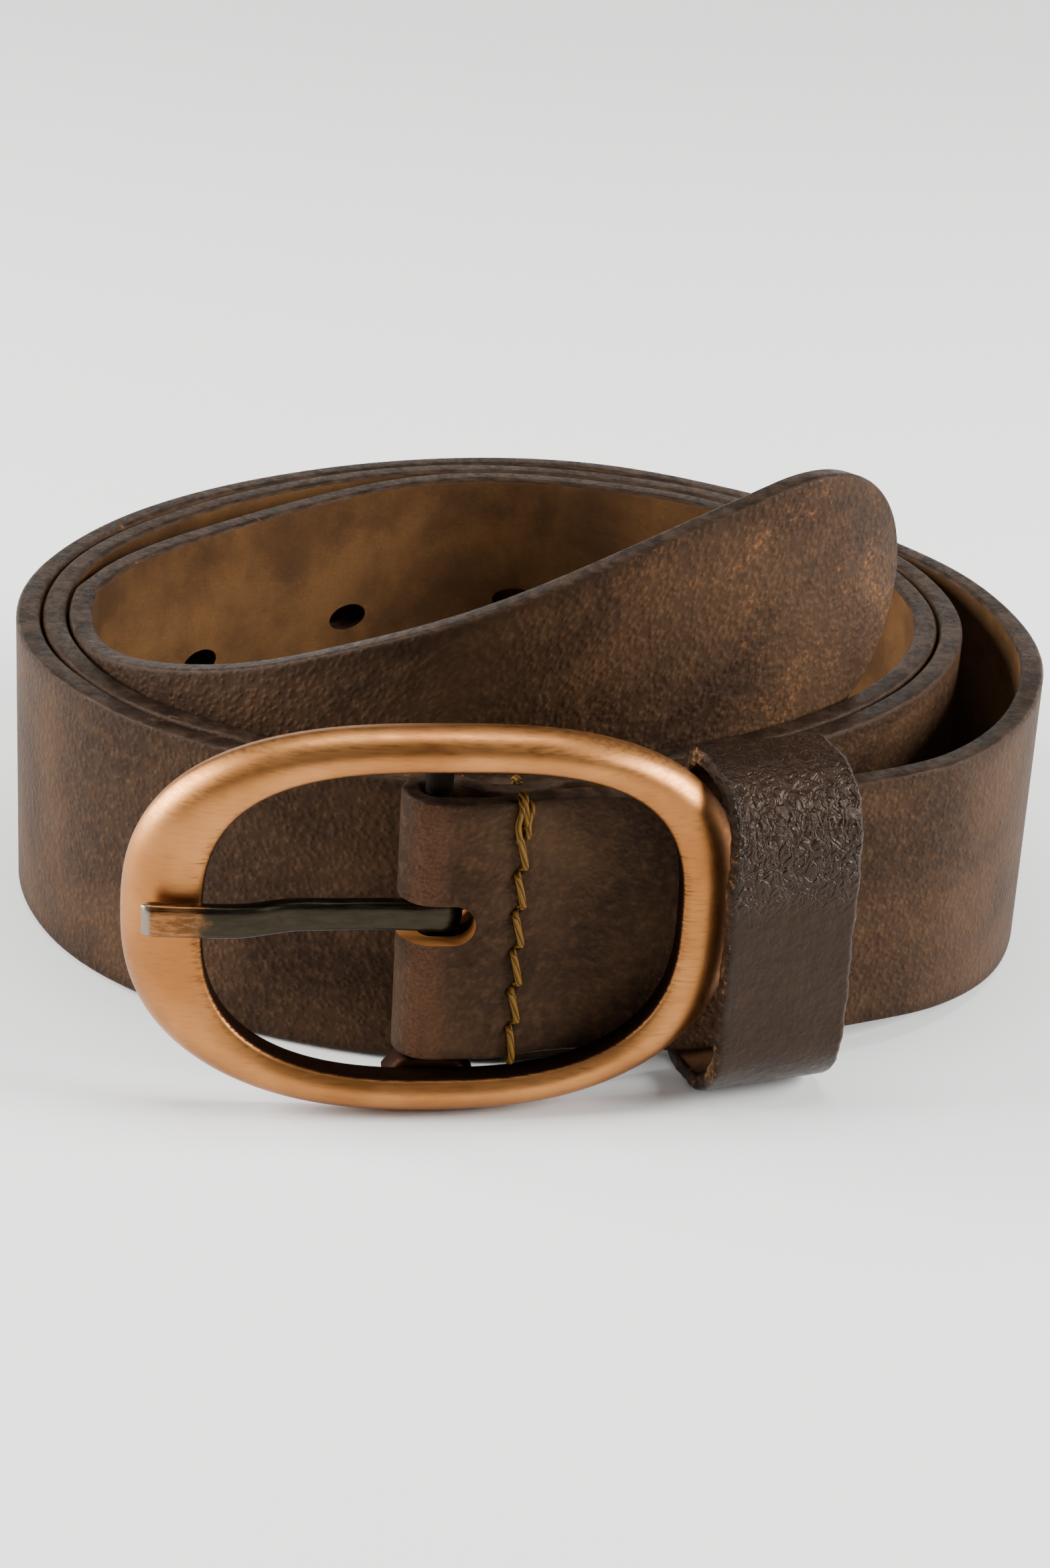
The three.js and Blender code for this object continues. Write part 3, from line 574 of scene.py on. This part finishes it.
# %% Keeper
KEEPER_WIDTH, KEEPER_THICK, KEEPER_HEIGHT, KEEPER_BOTTOM, KEEPER_CORNER = 18, 2.4, 45.6, 0.2, 5
KEEPER_FRONT_CORNER, KEEPER_FRONT_GAP, KEEPER_BACK_GAP, KEEPER_PAST_BAR = 9.5, 8.6, 1.4, 42.9
KEEPER_FRONT = -KEEPER_FRONT_GAP - KEEPER_THICK
KEEPER_BACK = STRAP_THICK + KEEPER_BACK_GAP + KEEPER_THICK
keeper_s = BAR_S + KEEPER_PAST_BAR
keeper_at = leather(keeper_s, STRAP_WIDTH / 2, 0)
keeper_ahead = leather(keeper_s + 1, 20, 0) - leather(keeper_s - 1, 20, 0)
KEEPER_TURN = math.atan2(keeper_ahead[1], keeper_ahead[0])


def keeper_path():
    """Middle line of the loop's wall, as (y, z): straight runs joined by four quarter circles."""
    inset = KEEPER_THICK / 2
    f, b, h = KEEPER_FRONT + inset, KEEPER_BACK - inset, KEEPER_HEIGHT / 2 - inset
    r, wide = KEEPER_CORNER - inset, KEEPER_FRONT_CORNER - inset
    bend = np.linspace(0, np.pi / 2, 14)

    def quarter(cy, cz, radius, start):
        """A quarter circle from the start angle on."""
        return np.stack([cy + radius * np.cos(start + bend), cz + radius * np.sin(start + bend)], -1)

    corners = np.concatenate([
        np.array([[b, 0.2]]), quarter(b - r, h - r, r, 0), quarter(f + wide, h - wide, wide, np.pi / 2),
        quarter(f + wide, wide - h, wide, np.pi), quarter(b - r, r - h, r, 1.5 * np.pi),
        np.array([[b, -0.2]])])
    length = running(corners)
    even = np.linspace(0, length[-1], 200)
    return np.stack([np.interp(even, length, corners[:, 0]), np.interp(even, length, corners[:, 1])], -1)


def keeper_crinkle(x, length, z):
    """Waves a few millimetres long that run mostly along the keeper, strongest at the upper bend."""
    strong = 0.35 + 0.65 * bump_at(z, 15, 7)
    wave = np.sin(1.9 * length + 0.8 * np.sin(0.7 * x) + 1.3 * np.sin(0.23 * x * length / 9))
    wave = wave * np.sin(0.9 * length + 0.5 * x + 1.1) + 0.5 * np.sin(3.1 * length - 0.9 * x)
    return 0.035 * strong * wave


keeper_line = keeper_path()
keeper_len = running(keeper_line)[:, None]
keeper_side = sideways(keeper_line)
keeper_ring = section(40, 20, 6)
keeper_half, keeper_r = KEEPER_WIDTH / 2, 0.7
ragged = 0.16 * np.sin(0.8 * keeper_len) * np.sin(0.37 * keeper_len + 1) + 0.05 * np.sin(3.3 * keeper_len)
kx = keeper_ring[:, 0] * (keeper_half - 0.25 - keeper_r + ragged) + keeper_r * keeper_ring[:, 2]
koff = keeper_ring[:, 1] * (KEEPER_THICK / 2 - keeper_r) + keeper_r * keeper_ring[:, 3]
koff = koff + np.where(keeper_ring[:, 1] > 0, keeper_crinkle(kx, keeper_len, keeper_line[:, 1:]) - 0.06, 0)
ky = keeper_line[:, :1] + keeper_side[:, :1] * koff
kz = keeper_line[:, 1:] + keeper_side[:, 1:] * koff + KEEPER_HEIGHT / 2 + KEEPER_BOTTOM
c, s = math.cos(KEEPER_TURN), math.sin(KEEPER_TURN)
keeper_rings = np.stack([keeper_at[0] + c * kx - s * ky, keeper_at[1] + s * kx + c * ky, kz + 0 * kx], -1)
keeper_uv = np.stack(np.broadcast_arrays(keeper_len, kx + 9), -1)
keeper_uv = np.concatenate([keeper_uv, keeper_uv[:, :1]], 1)
keeper = tube("keeper_leather", keeper_rings, keeper_uv, "keeper", ["keeper_loop"],
              three_finishes(keeper_ring))

# %% [markdown]
# ## Materials
#
# One helper adds a node, sets its switches and joins its wires. Patterns are measured in millimetres:
# the leather's run along and across the strap, so that they bend with it, and those of the cut edges
# and the metal wear follow the object's own space.

# %% The node helper
def add(tree, kind, wires=(), **settings):
    """Adds one node: settings are its switches, wires are its inputs, each a socket or a value."""
    made = tree.nodes.new(kind)
    for name, value in settings.items():
        setattr(made, name, value)
    for place, value in dict(wires).items():
        if isinstance(value, bpy.types.NodeSocket):
            tree.links.new(value, made.inputs[place])
        else:
            made.inputs[place].default_value = value
    return made.outputs[2] if kind == "ShaderNodeMix" else made.outputs[0]


def new_material(name, **fixed):
    """A Principled material: the fixed values go straight on the shader's own sockets."""
    material = bpy.data.materials.new(name)
    material.use_nodes = True
    shader = material.node_tree.nodes["Principled BSDF"]
    for socket, value in fixed.items():
        shader.inputs[socket.replace("_", " ")].default_value = value
    return material, material.node_tree, shader


def millimetres(tree, source="UV", stretch=(1, 1, 1)):
    """Coordinates in millimetres, from the piece's own map or its own space."""
    if source == "UV":
        base = add(tree, "ShaderNodeUVMap", uv_map="along_and_across")
    else:
        base = tree.nodes.new("ShaderNodeTexCoord").outputs["Object"]
    return add(tree, "ShaderNodeMapping", {0: base, 3: tuple(1000 * x for x in stretch)})


def noise(tree, where, per_mm, detail=4.0, rough=0.55, distortion=0.0):
    """Cloudy noise whose lumps are about 1 / per_mm millimetres across."""
    return add(tree, "ShaderNodeTexNoise", {"Vector": where, "Scale": per_mm, "Detail": detail,
                                            "Roughness": rough, "Distortion": distortion})


def remap(tree, value, low, high, to_low=0.0, to_high=1.0):
    """Stretches a value from one range to another, and stops at its ends."""
    return add(tree, "ShaderNodeMapRange", {0: value, 1: low, 2: high, 3: to_low, 4: to_high},
               interpolation_type="SMOOTHSTEP")


def blend_colours(tree, amount, first, second):
    """Lays the second colour over the first."""
    return add(tree, "ShaderNodeMix", {0: amount, 6: first, 7: second}, data_type="RGBA")


def maths(tree, operation, a, b=0.0):
    """One sum, product or other operation on two values."""
    return add(tree, "ShaderNodeMath", {0: a, 1: b}, operation=operation)


def raise_surface(tree, height, depth_mm, before=None, strength=1.0):
    """Bump of a real depth in millimetres, on top of an earlier one."""
    wires = {"Height": height, "Distance": depth_mm * MM, "Strength": strength}
    if before is not None:
        wires["Normal"] = before
    return add(tree, "ShaderNodeBump", wires)


# %% [markdown]
# ### Waxed full-grain leather
#
# Vegetable-tanned hide, dyed dark brown, waxed and rubbed. It shows a pebble grain of about 0.8 mm,
# clouds where the dye took unevenly, darker burnished margins, and paler tan where the finish has been
# scuffed through, most of all on the tip. A wet-looking coat would be wrong: wax gives a soft, broad
# shine.

# %% Grain leather
def grain_leather(name, dark, mid, light, scuff, shine, crinkled=False):
    """Clouds of dye, pebble grain, burnished margins, and scuffs toward the tip."""
    material, tree, shader = new_material(name, IOR=1.46)
    shader.inputs["Specular IOR Level"].default_value = 0.13 if not crinkled else 0.38
    shader.inputs["Specular Tint"].default_value = linear("#d8b9a2")
    flat = millimetres(tree)
    clouds = noise(tree, flat, 0.045, 5, 0.6, 0.4)
    fine = noise(tree, flat, 0.6, 6, 0.65)
    cells = add(tree, "ShaderNodeTexVoronoi", {"Vector": flat, "Scale": 1.35, "Randomness": 0.95},
                feature="SMOOTH_F1")
    pits = remap(tree, cells, 0.28, 0.62)
    colour = blend_colours(tree, remap(tree, clouds, 0.36, 0.66), linear(dark), linear(mid))
    colour = blend_colours(tree, remap(tree, fine, 0.42, 0.78, 0, 0.45), colour, linear(light))
    colour = blend_colours(tree, maths(tree, "MULTIPLY", pits, 0.22), colour, linear("#1c130e"))
    split = add(tree, "ShaderNodeSeparateXYZ", {0: flat})
    separate = split.node
    across, along = separate.outputs[1], separate.outputs[0]
    if not crinkled:
        margin = maths(tree, "ABSOLUTE", maths(tree, "SUBTRACT", across, STRAP_WIDTH / 2))
        burnish = remap(tree, margin, STRAP_WIDTH / 2 - 3.2, STRAP_WIDTH / 2 - 0.4, 0, 0.55)
        colour = blend_colours(tree, burnish, colour, linear("#231811"))
        toward_end = remap(tree, along, LENGTH - 72, LENGTH - 14, 0, 1)
        specks = noise(tree, flat, 1.1, 9, 0.78, 0.15)
        patches = noise(tree, flat, 0.075, 4, 0.6, 0.8)
        worn = maths(tree, "ADD", specks, maths(tree, "MULTIPLY", patches, 0.8))
        worn = remap(tree, worn, 0.94, 1.2)
        worn = maths(tree, "MULTIPLY", worn, maths(tree, "MULTIPLY", toward_end, 0.6))
        colour = blend_colours(tree, worn, colour, linear(scuff))
        from_fold = maths(tree, "ABSOLUTE", maths(tree, "SUBTRACT", along, BAR_S - 1.5))
        rubbed = remap(tree, from_fold, 3.6, 0.4, 0, 1)
        uneven = remap(tree, noise(tree, flat, 2.4, 4), 0.35, 0.65, 0.25, 0.7)
        rubbed = maths(tree, "MULTIPLY", rubbed, uneven)
        colour = blend_colours(tree, rubbed, colour, linear("#583a29"))
        slit_dent_and_shade = add(tree, "ShaderNodeAttribute", attribute_name="slit_dent_and_shade").node.outputs["Fac"]
        # Painted shade: the stitch slits are darkened nearly to black, for the shade that falls into them.
        colour = blend_colours(tree, remap(tree, slit_dent_and_shade, 0.15, 0.6), colour, linear("#0d0805"))
    else:
        lip = remap(tree, maths(tree, "ADD", across, maths(tree, "MULTIPLY", fine, 0.5)), 2.5, 1.9, 0, 0.7)
        colour = blend_colours(tree, lip, colour, linear("#15100d"))
    tree.links.new(colour, shader.inputs["Base Color"])
    gloss = remap(tree, fine, 0.3, 0.75, shine, shine + 0.16)
    tree.links.new(gloss, shader.inputs["Roughness"])
    bumps = raise_surface(tree, noise(tree, flat, 0.16, 3), 0.35)
    bumps = raise_surface(tree, remap(tree, cells, 0.08, 0.6, 1, 0), 0.09 if not crinkled else 0.03, bumps)
    bumps = raise_surface(tree, noise(tree, flat, 3.2, 5, 0.7), 0.05, bumps)
    if crinkled:
        height = add(tree, "ShaderNodeSeparateXYZ", {0: millimetres(tree, "Object")}).node.outputs[2]
        upper_bend = maths(tree, "MULTIPLY", remap(tree, height, 27, 36),
                           remap(tree, height, 45.5, 41, 0.3, 1))
        folds = noise(tree, flat, 0.62, 3, 0.5, 0.7)
        creases = maths(tree, "ABSOLUTE", maths(tree, "SUBTRACT", folds, 0.5))
        lumps = maths(tree, "MULTIPLY", remap(tree, creases, 0.0, 0.12),
                      maths(tree, "ADD", upper_bend, 0.06))
        bumps = raise_surface(tree, lumps, 0.27, bumps)
    tree.links.new(bumps, shader.inputs["Normal"])
    return material


strap_grain = grain_leather("waxed_full_grain_leather", "#271a11", "#3e2c1d", "#5a412d", "#8f5e38", 0.52)
keeper_grain = grain_leather("waxed_keeper_leather", "#150c07", "#20140c", "#301f12", "#5e3f29", 0.27,
                             crinkled=True)

# %% [markdown]
# ### The flesh side and the cut edges
#
# The back of the hide is left as suede: tan, dull and fuzzy, with darker smears of wax. The edges were
# sanded and burnished: nearly black, glossy on their corners, with specks where the dye has flaked off
# and tan leather shows.

# %% Suede and edges
def suede(name, dark, light):
    """Short fibres a third of a millimetre long, clouded at two sizes."""
    material, tree, shader = new_material(name, Roughness=0.92)
    shader.inputs["Specular IOR Level"].default_value = 0.1
    shader.inputs["Sheen Weight"].default_value = 0.08
    shader.inputs["Sheen Roughness"].default_value = 0.5
    shader.inputs["Sheen Tint"].default_value = linear("#a9794e")
    flat = millimetres(tree)
    clouds = noise(tree, flat, 0.06, 6, 0.62, 0.2)
    fibres = noise(tree, millimetres(tree, stretch=(0.5, 1, 1)), 2.2, 6, 0.75, 0.8)
    colour = blend_colours(tree, remap(tree, clouds, 0.35, 0.68), linear(dark), linear(light))
    colour = blend_colours(tree, remap(tree, fibres, 0.55, 0.8, 0, 0.4), colour, linear("#7a4e2a"))
    colour = blend_colours(tree, remap(tree, fibres, 0.45, 0.25, 0, 0.5), colour, linear("#1f1208"))
    tree.links.new(colour, shader.inputs["Base Color"])
    bumps = raise_surface(tree, clouds, 0.3)
    tree.links.new(raise_surface(tree, fibres, 0.16, bumps), shader.inputs["Normal"])
    return material


def burnished_edge(name, dye, raw, flaked):
    """Dye over raw leather: specks of raw show through where a fine noise is high."""
    material, tree, shader = new_material(name)
    shader.inputs["Specular IOR Level"].default_value = 0.2
    shader.inputs["Specular Tint"].default_value = linear("#c9a184")
    spot = millimetres(tree, "Object")
    specks = noise(tree, spot, 0.9, 8, 0.75, 0.5)
    drift = noise(tree, spot, 0.09, 3)
    layers = noise(tree, millimetres(tree, "Object", (0.35, 0.35, 2.0)), 1.1, 5, 0.6)
    flaking = maths(tree, "ADD", specks, maths(tree, "MULTIPLY", drift, 0.5))
    amount = remap(tree, flaking, flaked, flaked + 0.13, 0, 0.8)
    colour = blend_colours(tree, remap(tree, layers, 0.35, 0.7), linear(dye), linear("#34271d"))
    colour = blend_colours(tree, amount, colour, linear(raw))
    tree.links.new(colour, shader.inputs["Base Color"])
    tree.links.new(remap(tree, specks, 0.35, 0.7, 0.34, 0.62), shader.inputs["Roughness"])
    bumps = raise_surface(tree, layers, 0.14)
    tree.links.new(raise_surface(tree, specks, 0.12, bumps), shader.inputs["Normal"])
    return material


strap_flesh = suede("suede_flesh_side", "#392513", "#54391e")
keeper_flesh = suede("suede_keeper_inside", "#2a190d", "#4a2e19")
raw_cut = suede("raw_cut_leather", "#7a4a20", "#b5793f")
strap_edge = burnished_edge("burnished_leather_edge", "#1a120c", "#7a4c2c", 0.90)
keeper_edge = burnished_edge("rough_keeper_edge", "#110c09", "#7d5836", 0.80)
for piece, finishes in ((strap, (strap_grain, strap_edge, strap_flesh)),
                        (keeper, (keeper_grain, keeper_edge, keeper_flesh))):
    for finish in finishes:
        piece.data.materials.append(finish)
for cutter in plugs:
    cutter.data.materials.append(strap_edge)
slot_cutter.data.materials.append(raw_cut)
carve(strap, [*plugs, slot_cutter])

# %% [markdown]
# ### Antique copper, dark bronze and thread
#
# The frame is die-cast zinc, plated with copper, darkened, and brushed so that the dark stays only in the
# low places and on the window's walls; the window's inner edge at the left and right, and the feet that
# carry the bar, are darkened further as painted shade. Brush marks run along the rim, a few to the
# millimetre. The prong has kept its dark bronze but for the tip, which is rubbed down to copper. The thread
# is waxed ochre polyester, twisted from four plies, with painted shade in the grooves between them. The pin
# in the fold is painted nearly black, as the shade it sits in.

# %% Metals
def brushed_copper(name):
    """Streaks along the rim set shine and tint; the mark on the mesh sets the patina of the walls and the
    painted shade on the feet and inner edges.
    """
    material, tree, shader = new_material(name, Metallic=1.0)
    brush = noise(tree, millimetres(tree, "Object", (0.09, 0.3, 1)), 3.6, 6, 0.7)
    drift = noise(tree, millimetres(tree, "Object"), 0.06, 3, 0.5)
    grime = noise(tree, millimetres(tree, "Object"), 0.5, 7, 0.7, 0.7)
    patina_and_shade = add(tree, "ShaderNodeAttribute", attribute_name="patina_and_shade").node.outputs["Fac"]
    colour = blend_colours(tree, remap(tree, drift, 0.35, 0.65), linear("#925f33"), linear("#aa7443"))
    colour = blend_colours(tree, remap(tree, brush, 0.5, 0.8, 0, 0.5), colour, linear("#714521"))
    colour = blend_colours(tree, remap(tree, grime, 0.62, 0.78, 0, 0.35), colour, linear("#5a3921"))
    strokes = maths(tree, "MULTIPLY", remap(tree, brush, 0.35, 0.8), maths(tree, "MULTIPLY", grime, 1.1))
    # One dark colour serves the patina, the brush strokes and the painted shade.
    dark = remap(tree, maths(tree, "ADD", patina_and_shade, maths(tree, "MULTIPLY", strokes, 0.5)), 0.35, 0.85)
    colour = blend_colours(tree, dark, colour, linear("#2b1a11"))
    tree.links.new(colour, shader.inputs["Base Color"])
    shine = maths(tree, "ADD", remap(tree, brush, 0.3, 0.7, 0.33, 0.47),
                  maths(tree, "MULTIPLY", dark, 0.16))
    tree.links.new(shine, shader.inputs["Roughness"])
    bumps = raise_surface(tree, drift, 0.10)
    bumps = raise_surface(tree, brush, 0.018, bumps)
    tree.links.new(raise_surface(tree, grime, 0.012, bumps), shader.inputs["Normal"])
    return material


def worn_bronze(name):
    """Dark bronze that turns to bare copper within 8 mm of the tip."""
    material, tree, shader = new_material(name, Metallic=1.0)
    flat = millimetres(tree)
    along = add(tree, "ShaderNodeSeparateXYZ", {0: flat})
    scratch = noise(tree, millimetres(tree, stretch=(0.12, 1, 1)), 2.6, 6, 0.7)
    spot = noise(tree, millimetres(tree, "Object"), 0.35, 5, 0.6)
    rubbed = remap(tree, maths(tree, "ADD", along, maths(tree, "MULTIPLY", spot, 6.0)), 11.5, 8.0)
    colour = blend_colours(tree, remap(tree, scratch, 0.35, 0.7), linear("#28241b"), linear("#332e25"))
    copper_worn = blend_colours(tree, remap(tree, scratch, 0.4, 0.6), linear("#5a3a21"), linear("#855b37"))
    colour = blend_colours(tree, rubbed, colour, copper_worn)
    colour = blend_colours(tree, remap(tree, along, 1.3, 0.7), colour, linear("#7d7466"))
    tree.links.new(colour, shader.inputs["Base Color"])
    tree.links.new(remap(tree, scratch, 0.3, 0.7, 0.26, 0.42), shader.inputs["Roughness"])
    bumps = raise_surface(tree, scratch, 0.004)
    tree.links.new(raise_surface(tree, spot, 0.03, bumps), shader.inputs["Normal"])
    return material


def twisted_thread(name):
    """Four plies, as the size of a sine across the skin, painted darker in the grooves as shade; the slant
    gives one turn in 20 mm.
    """
    material, tree, shader = new_material(name, Roughness=0.6)
    shader.inputs["Specular IOR Level"].default_value = 0.15
    flat = millimetres(tree)
    split = add(tree, "ShaderNodeSeparateXYZ", {0: flat}).node
    climb = maths(tree, "ADD", split.outputs[1], maths(tree, "MULTIPLY", split.outputs[0], 0.14))
    ply_and_groove_shade = maths(tree, "ABSOLUTE", maths(tree, "SINE", maths(tree, "MULTIPLY", climb, math.pi / 0.69)))
    fuzz = noise(tree, flat, 4.0, 4, 0.6)
    # Painted shade: the thread is darker in the grooves between its plies.
    colour = blend_colours(tree, remap(tree, ply_and_groove_shade, 0.0, 0.7), linear("#241604"), linear("#6b4a12"))
    colour = blend_colours(tree, remap(tree, fuzz, 0.45, 0.75, 0, 0.6), colour, linear("#3d2808"))
    tree.links.new(colour, shader.inputs["Base Color"])
    tree.links.new(raise_surface(tree, ply_and_groove_shade, 0.14), shader.inputs["Normal"])
    return material


def shade_dark_pin(name):
    """Painted shade: nearly black, dull, and a little mottled, for the shadow the pin lies in."""
    material, tree, shader = new_material(name, Metallic=1.0)
    spot = noise(tree, millimetres(tree, "Object"), 0.8, 5, 0.6)
    colour = blend_colours(tree, spot, linear("#0d0b09"), linear("#241d17"))
    tree.links.new(colour, shader.inputs["Base Color"])
    tree.links.new(remap(tree, spot, 0.3, 0.7, 0.5, 0.7), shader.inputs["Roughness"])
    return material


copper, bronze = brushed_copper("brushed_antique_copper"), worn_bronze("worn_dark_bronze")
thread, pin_painted_shade = twisted_thread("waxed_polyester_thread"), shade_dark_pin("pin_painted_shade_black")
for piece in [buckle, *feet]:
    piece.data.materials.clear()
    piece.data.materials.append(copper)
# The bar in the fold gets the near-black painted shade; the threads get their ochre.
for piece, finish in [(prong, bronze), (cad["centre_bar"], pin_painted_shade), (cad["keeper_thread"], thread),
                      *((sewn, thread) for sewn in threads)]:
    piece.data.materials.clear()
    piece.data.materials.append(finish)

# %% [markdown]
# ## Floor, light and camera
#
# A pale seamless floor and four soft lights: a strong one low at each side, which rakes the grain of
# the leather, a long one overhead, which draws the highlight along the top of the copper, and a weak
# one in front. The camera looks down by 25 degrees from just under half a metre, with a long lens, and
# leans over by a little more than 3 degrees.

# %% Floor
def pale_floor():
    """A disc-shaped sweep: flat near the belt, rising far behind it; a height that grows with distance."""
    r = np.linspace(0.001, 1.6, 40)[:, None]
    a = np.linspace(0, 2 * np.pi, 64, endpoint=False)[None]
    x, y = r * np.cos(a), r * np.sin(a)
    z = 0.9 * ease(0.5, 1.9, y) * ease(0.2, 1.6, r) - 0.0002
    points = np.stack([x, y, z + 0 * x], -1)
    n, m = points.shape[:2]
    i, j = np.arange(n - 1)[:, None], np.arange(m)[None]
    quads = np.stack([i * m + j, (i + 1) * m + j, (i + 1) * m + (j + 1) % m, i * m + (j + 1) % m], -1)
    quads = quads.reshape(-1, 4)
    mesh = bpy.data.meshes.new("floor")
    mesh.from_pydata(points.reshape(-1, 3).tolist(), [], quads.tolist() + [list(range(m))])
    mesh.polygons.foreach_set("use_smooth", np.ones(len(mesh.polygons), bool))
    floor = bpy.data.objects.new("floor", mesh)
    bpy.context.scene.collection.objects.link(floor)
    material, tree, shader = new_material("matt_white_board", Roughness=0.9)
    shader.inputs["Base Color"].default_value = linear("#f4f3f1")
    mesh.materials.append(material)
    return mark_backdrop(floor)


pale_floor()


# %% Lights
def soft_light(name, place, aim, size, power):
    """A flat sheet of light that faces its aim. Sizes in metres, power in watts."""
    lamp = bpy.data.lights.new(name, "AREA")
    lamp.shape, lamp.size, lamp.size_y, lamp.energy = "RECTANGLE", *size, power
    light = bpy.data.objects.new(name, lamp)
    light.location = place
    light.rotation_euler = (Vector(aim) - Vector(place)).to_track_quat("-Z", "Y").to_euler()
    bpy.context.scene.collection.objects.link(light)


soft_light("left_softbox", (-0.96, -0.04, 0.40), (0, 0, 0.03), (0.6, 0.6), 32)
soft_light("right_softbox", (0.93, -0.05, 0.40), (0, 0, 0.03), (0.5, 0.5), 28)
soft_light("overhead", (0.0, 0.02, 1.0), (0, 0, 0.0), (0.8, 0.25), 7.5)
soft_light("front_low", (-0.15, -0.95, 0.62), (0, 0, 0.03), (0.9, 0.25), 0.5)
world = bpy.data.worlds.new("studio")
bpy.context.scene.world = world
world.use_nodes = True
world.node_tree.nodes["Background"].inputs[0].default_value = linear("#f2f3f5")
world.node_tree.nodes["Background"].inputs[1].default_value = 0.10


# %% Camera
def look(aim, distance, elevation, lean):
    """Placed on a ray up and back from the aim; its sideways and upward axes are leant together."""
    up_angle, roll = math.radians(elevation), math.radians(lean)
    back = Vector((0, -math.cos(up_angle), math.sin(up_angle)))
    right, up = Vector((1, 0, 0)), Vector((0, math.sin(up_angle), math.cos(up_angle)))
    side = math.cos(roll) * right + math.sin(roll) * up
    top = -math.sin(roll) * right + math.cos(roll) * up
    eye = bpy.data.objects.new("camera", bpy.data.cameras.new("camera"))
    turn = Matrix((side, top, back)).transposed().to_4x4()
    eye.matrix_world = Matrix.Translation(Vector(aim) + distance * back) @ turn
    bpy.context.scene.collection.objects.link(eye)
    return eye


camera = look((SHIFT[0] * MM, SHIFT[1] * MM, 0.020), 0.4757, 25, 3.37)
camera.data.sensor_fit, camera.data.sensor_height, camera.data.lens = "VERTICAL", 36, 79.02
bpy.context.scene.camera = camera

# %% Bring the scene up to date
bpy.context.view_layer.update()
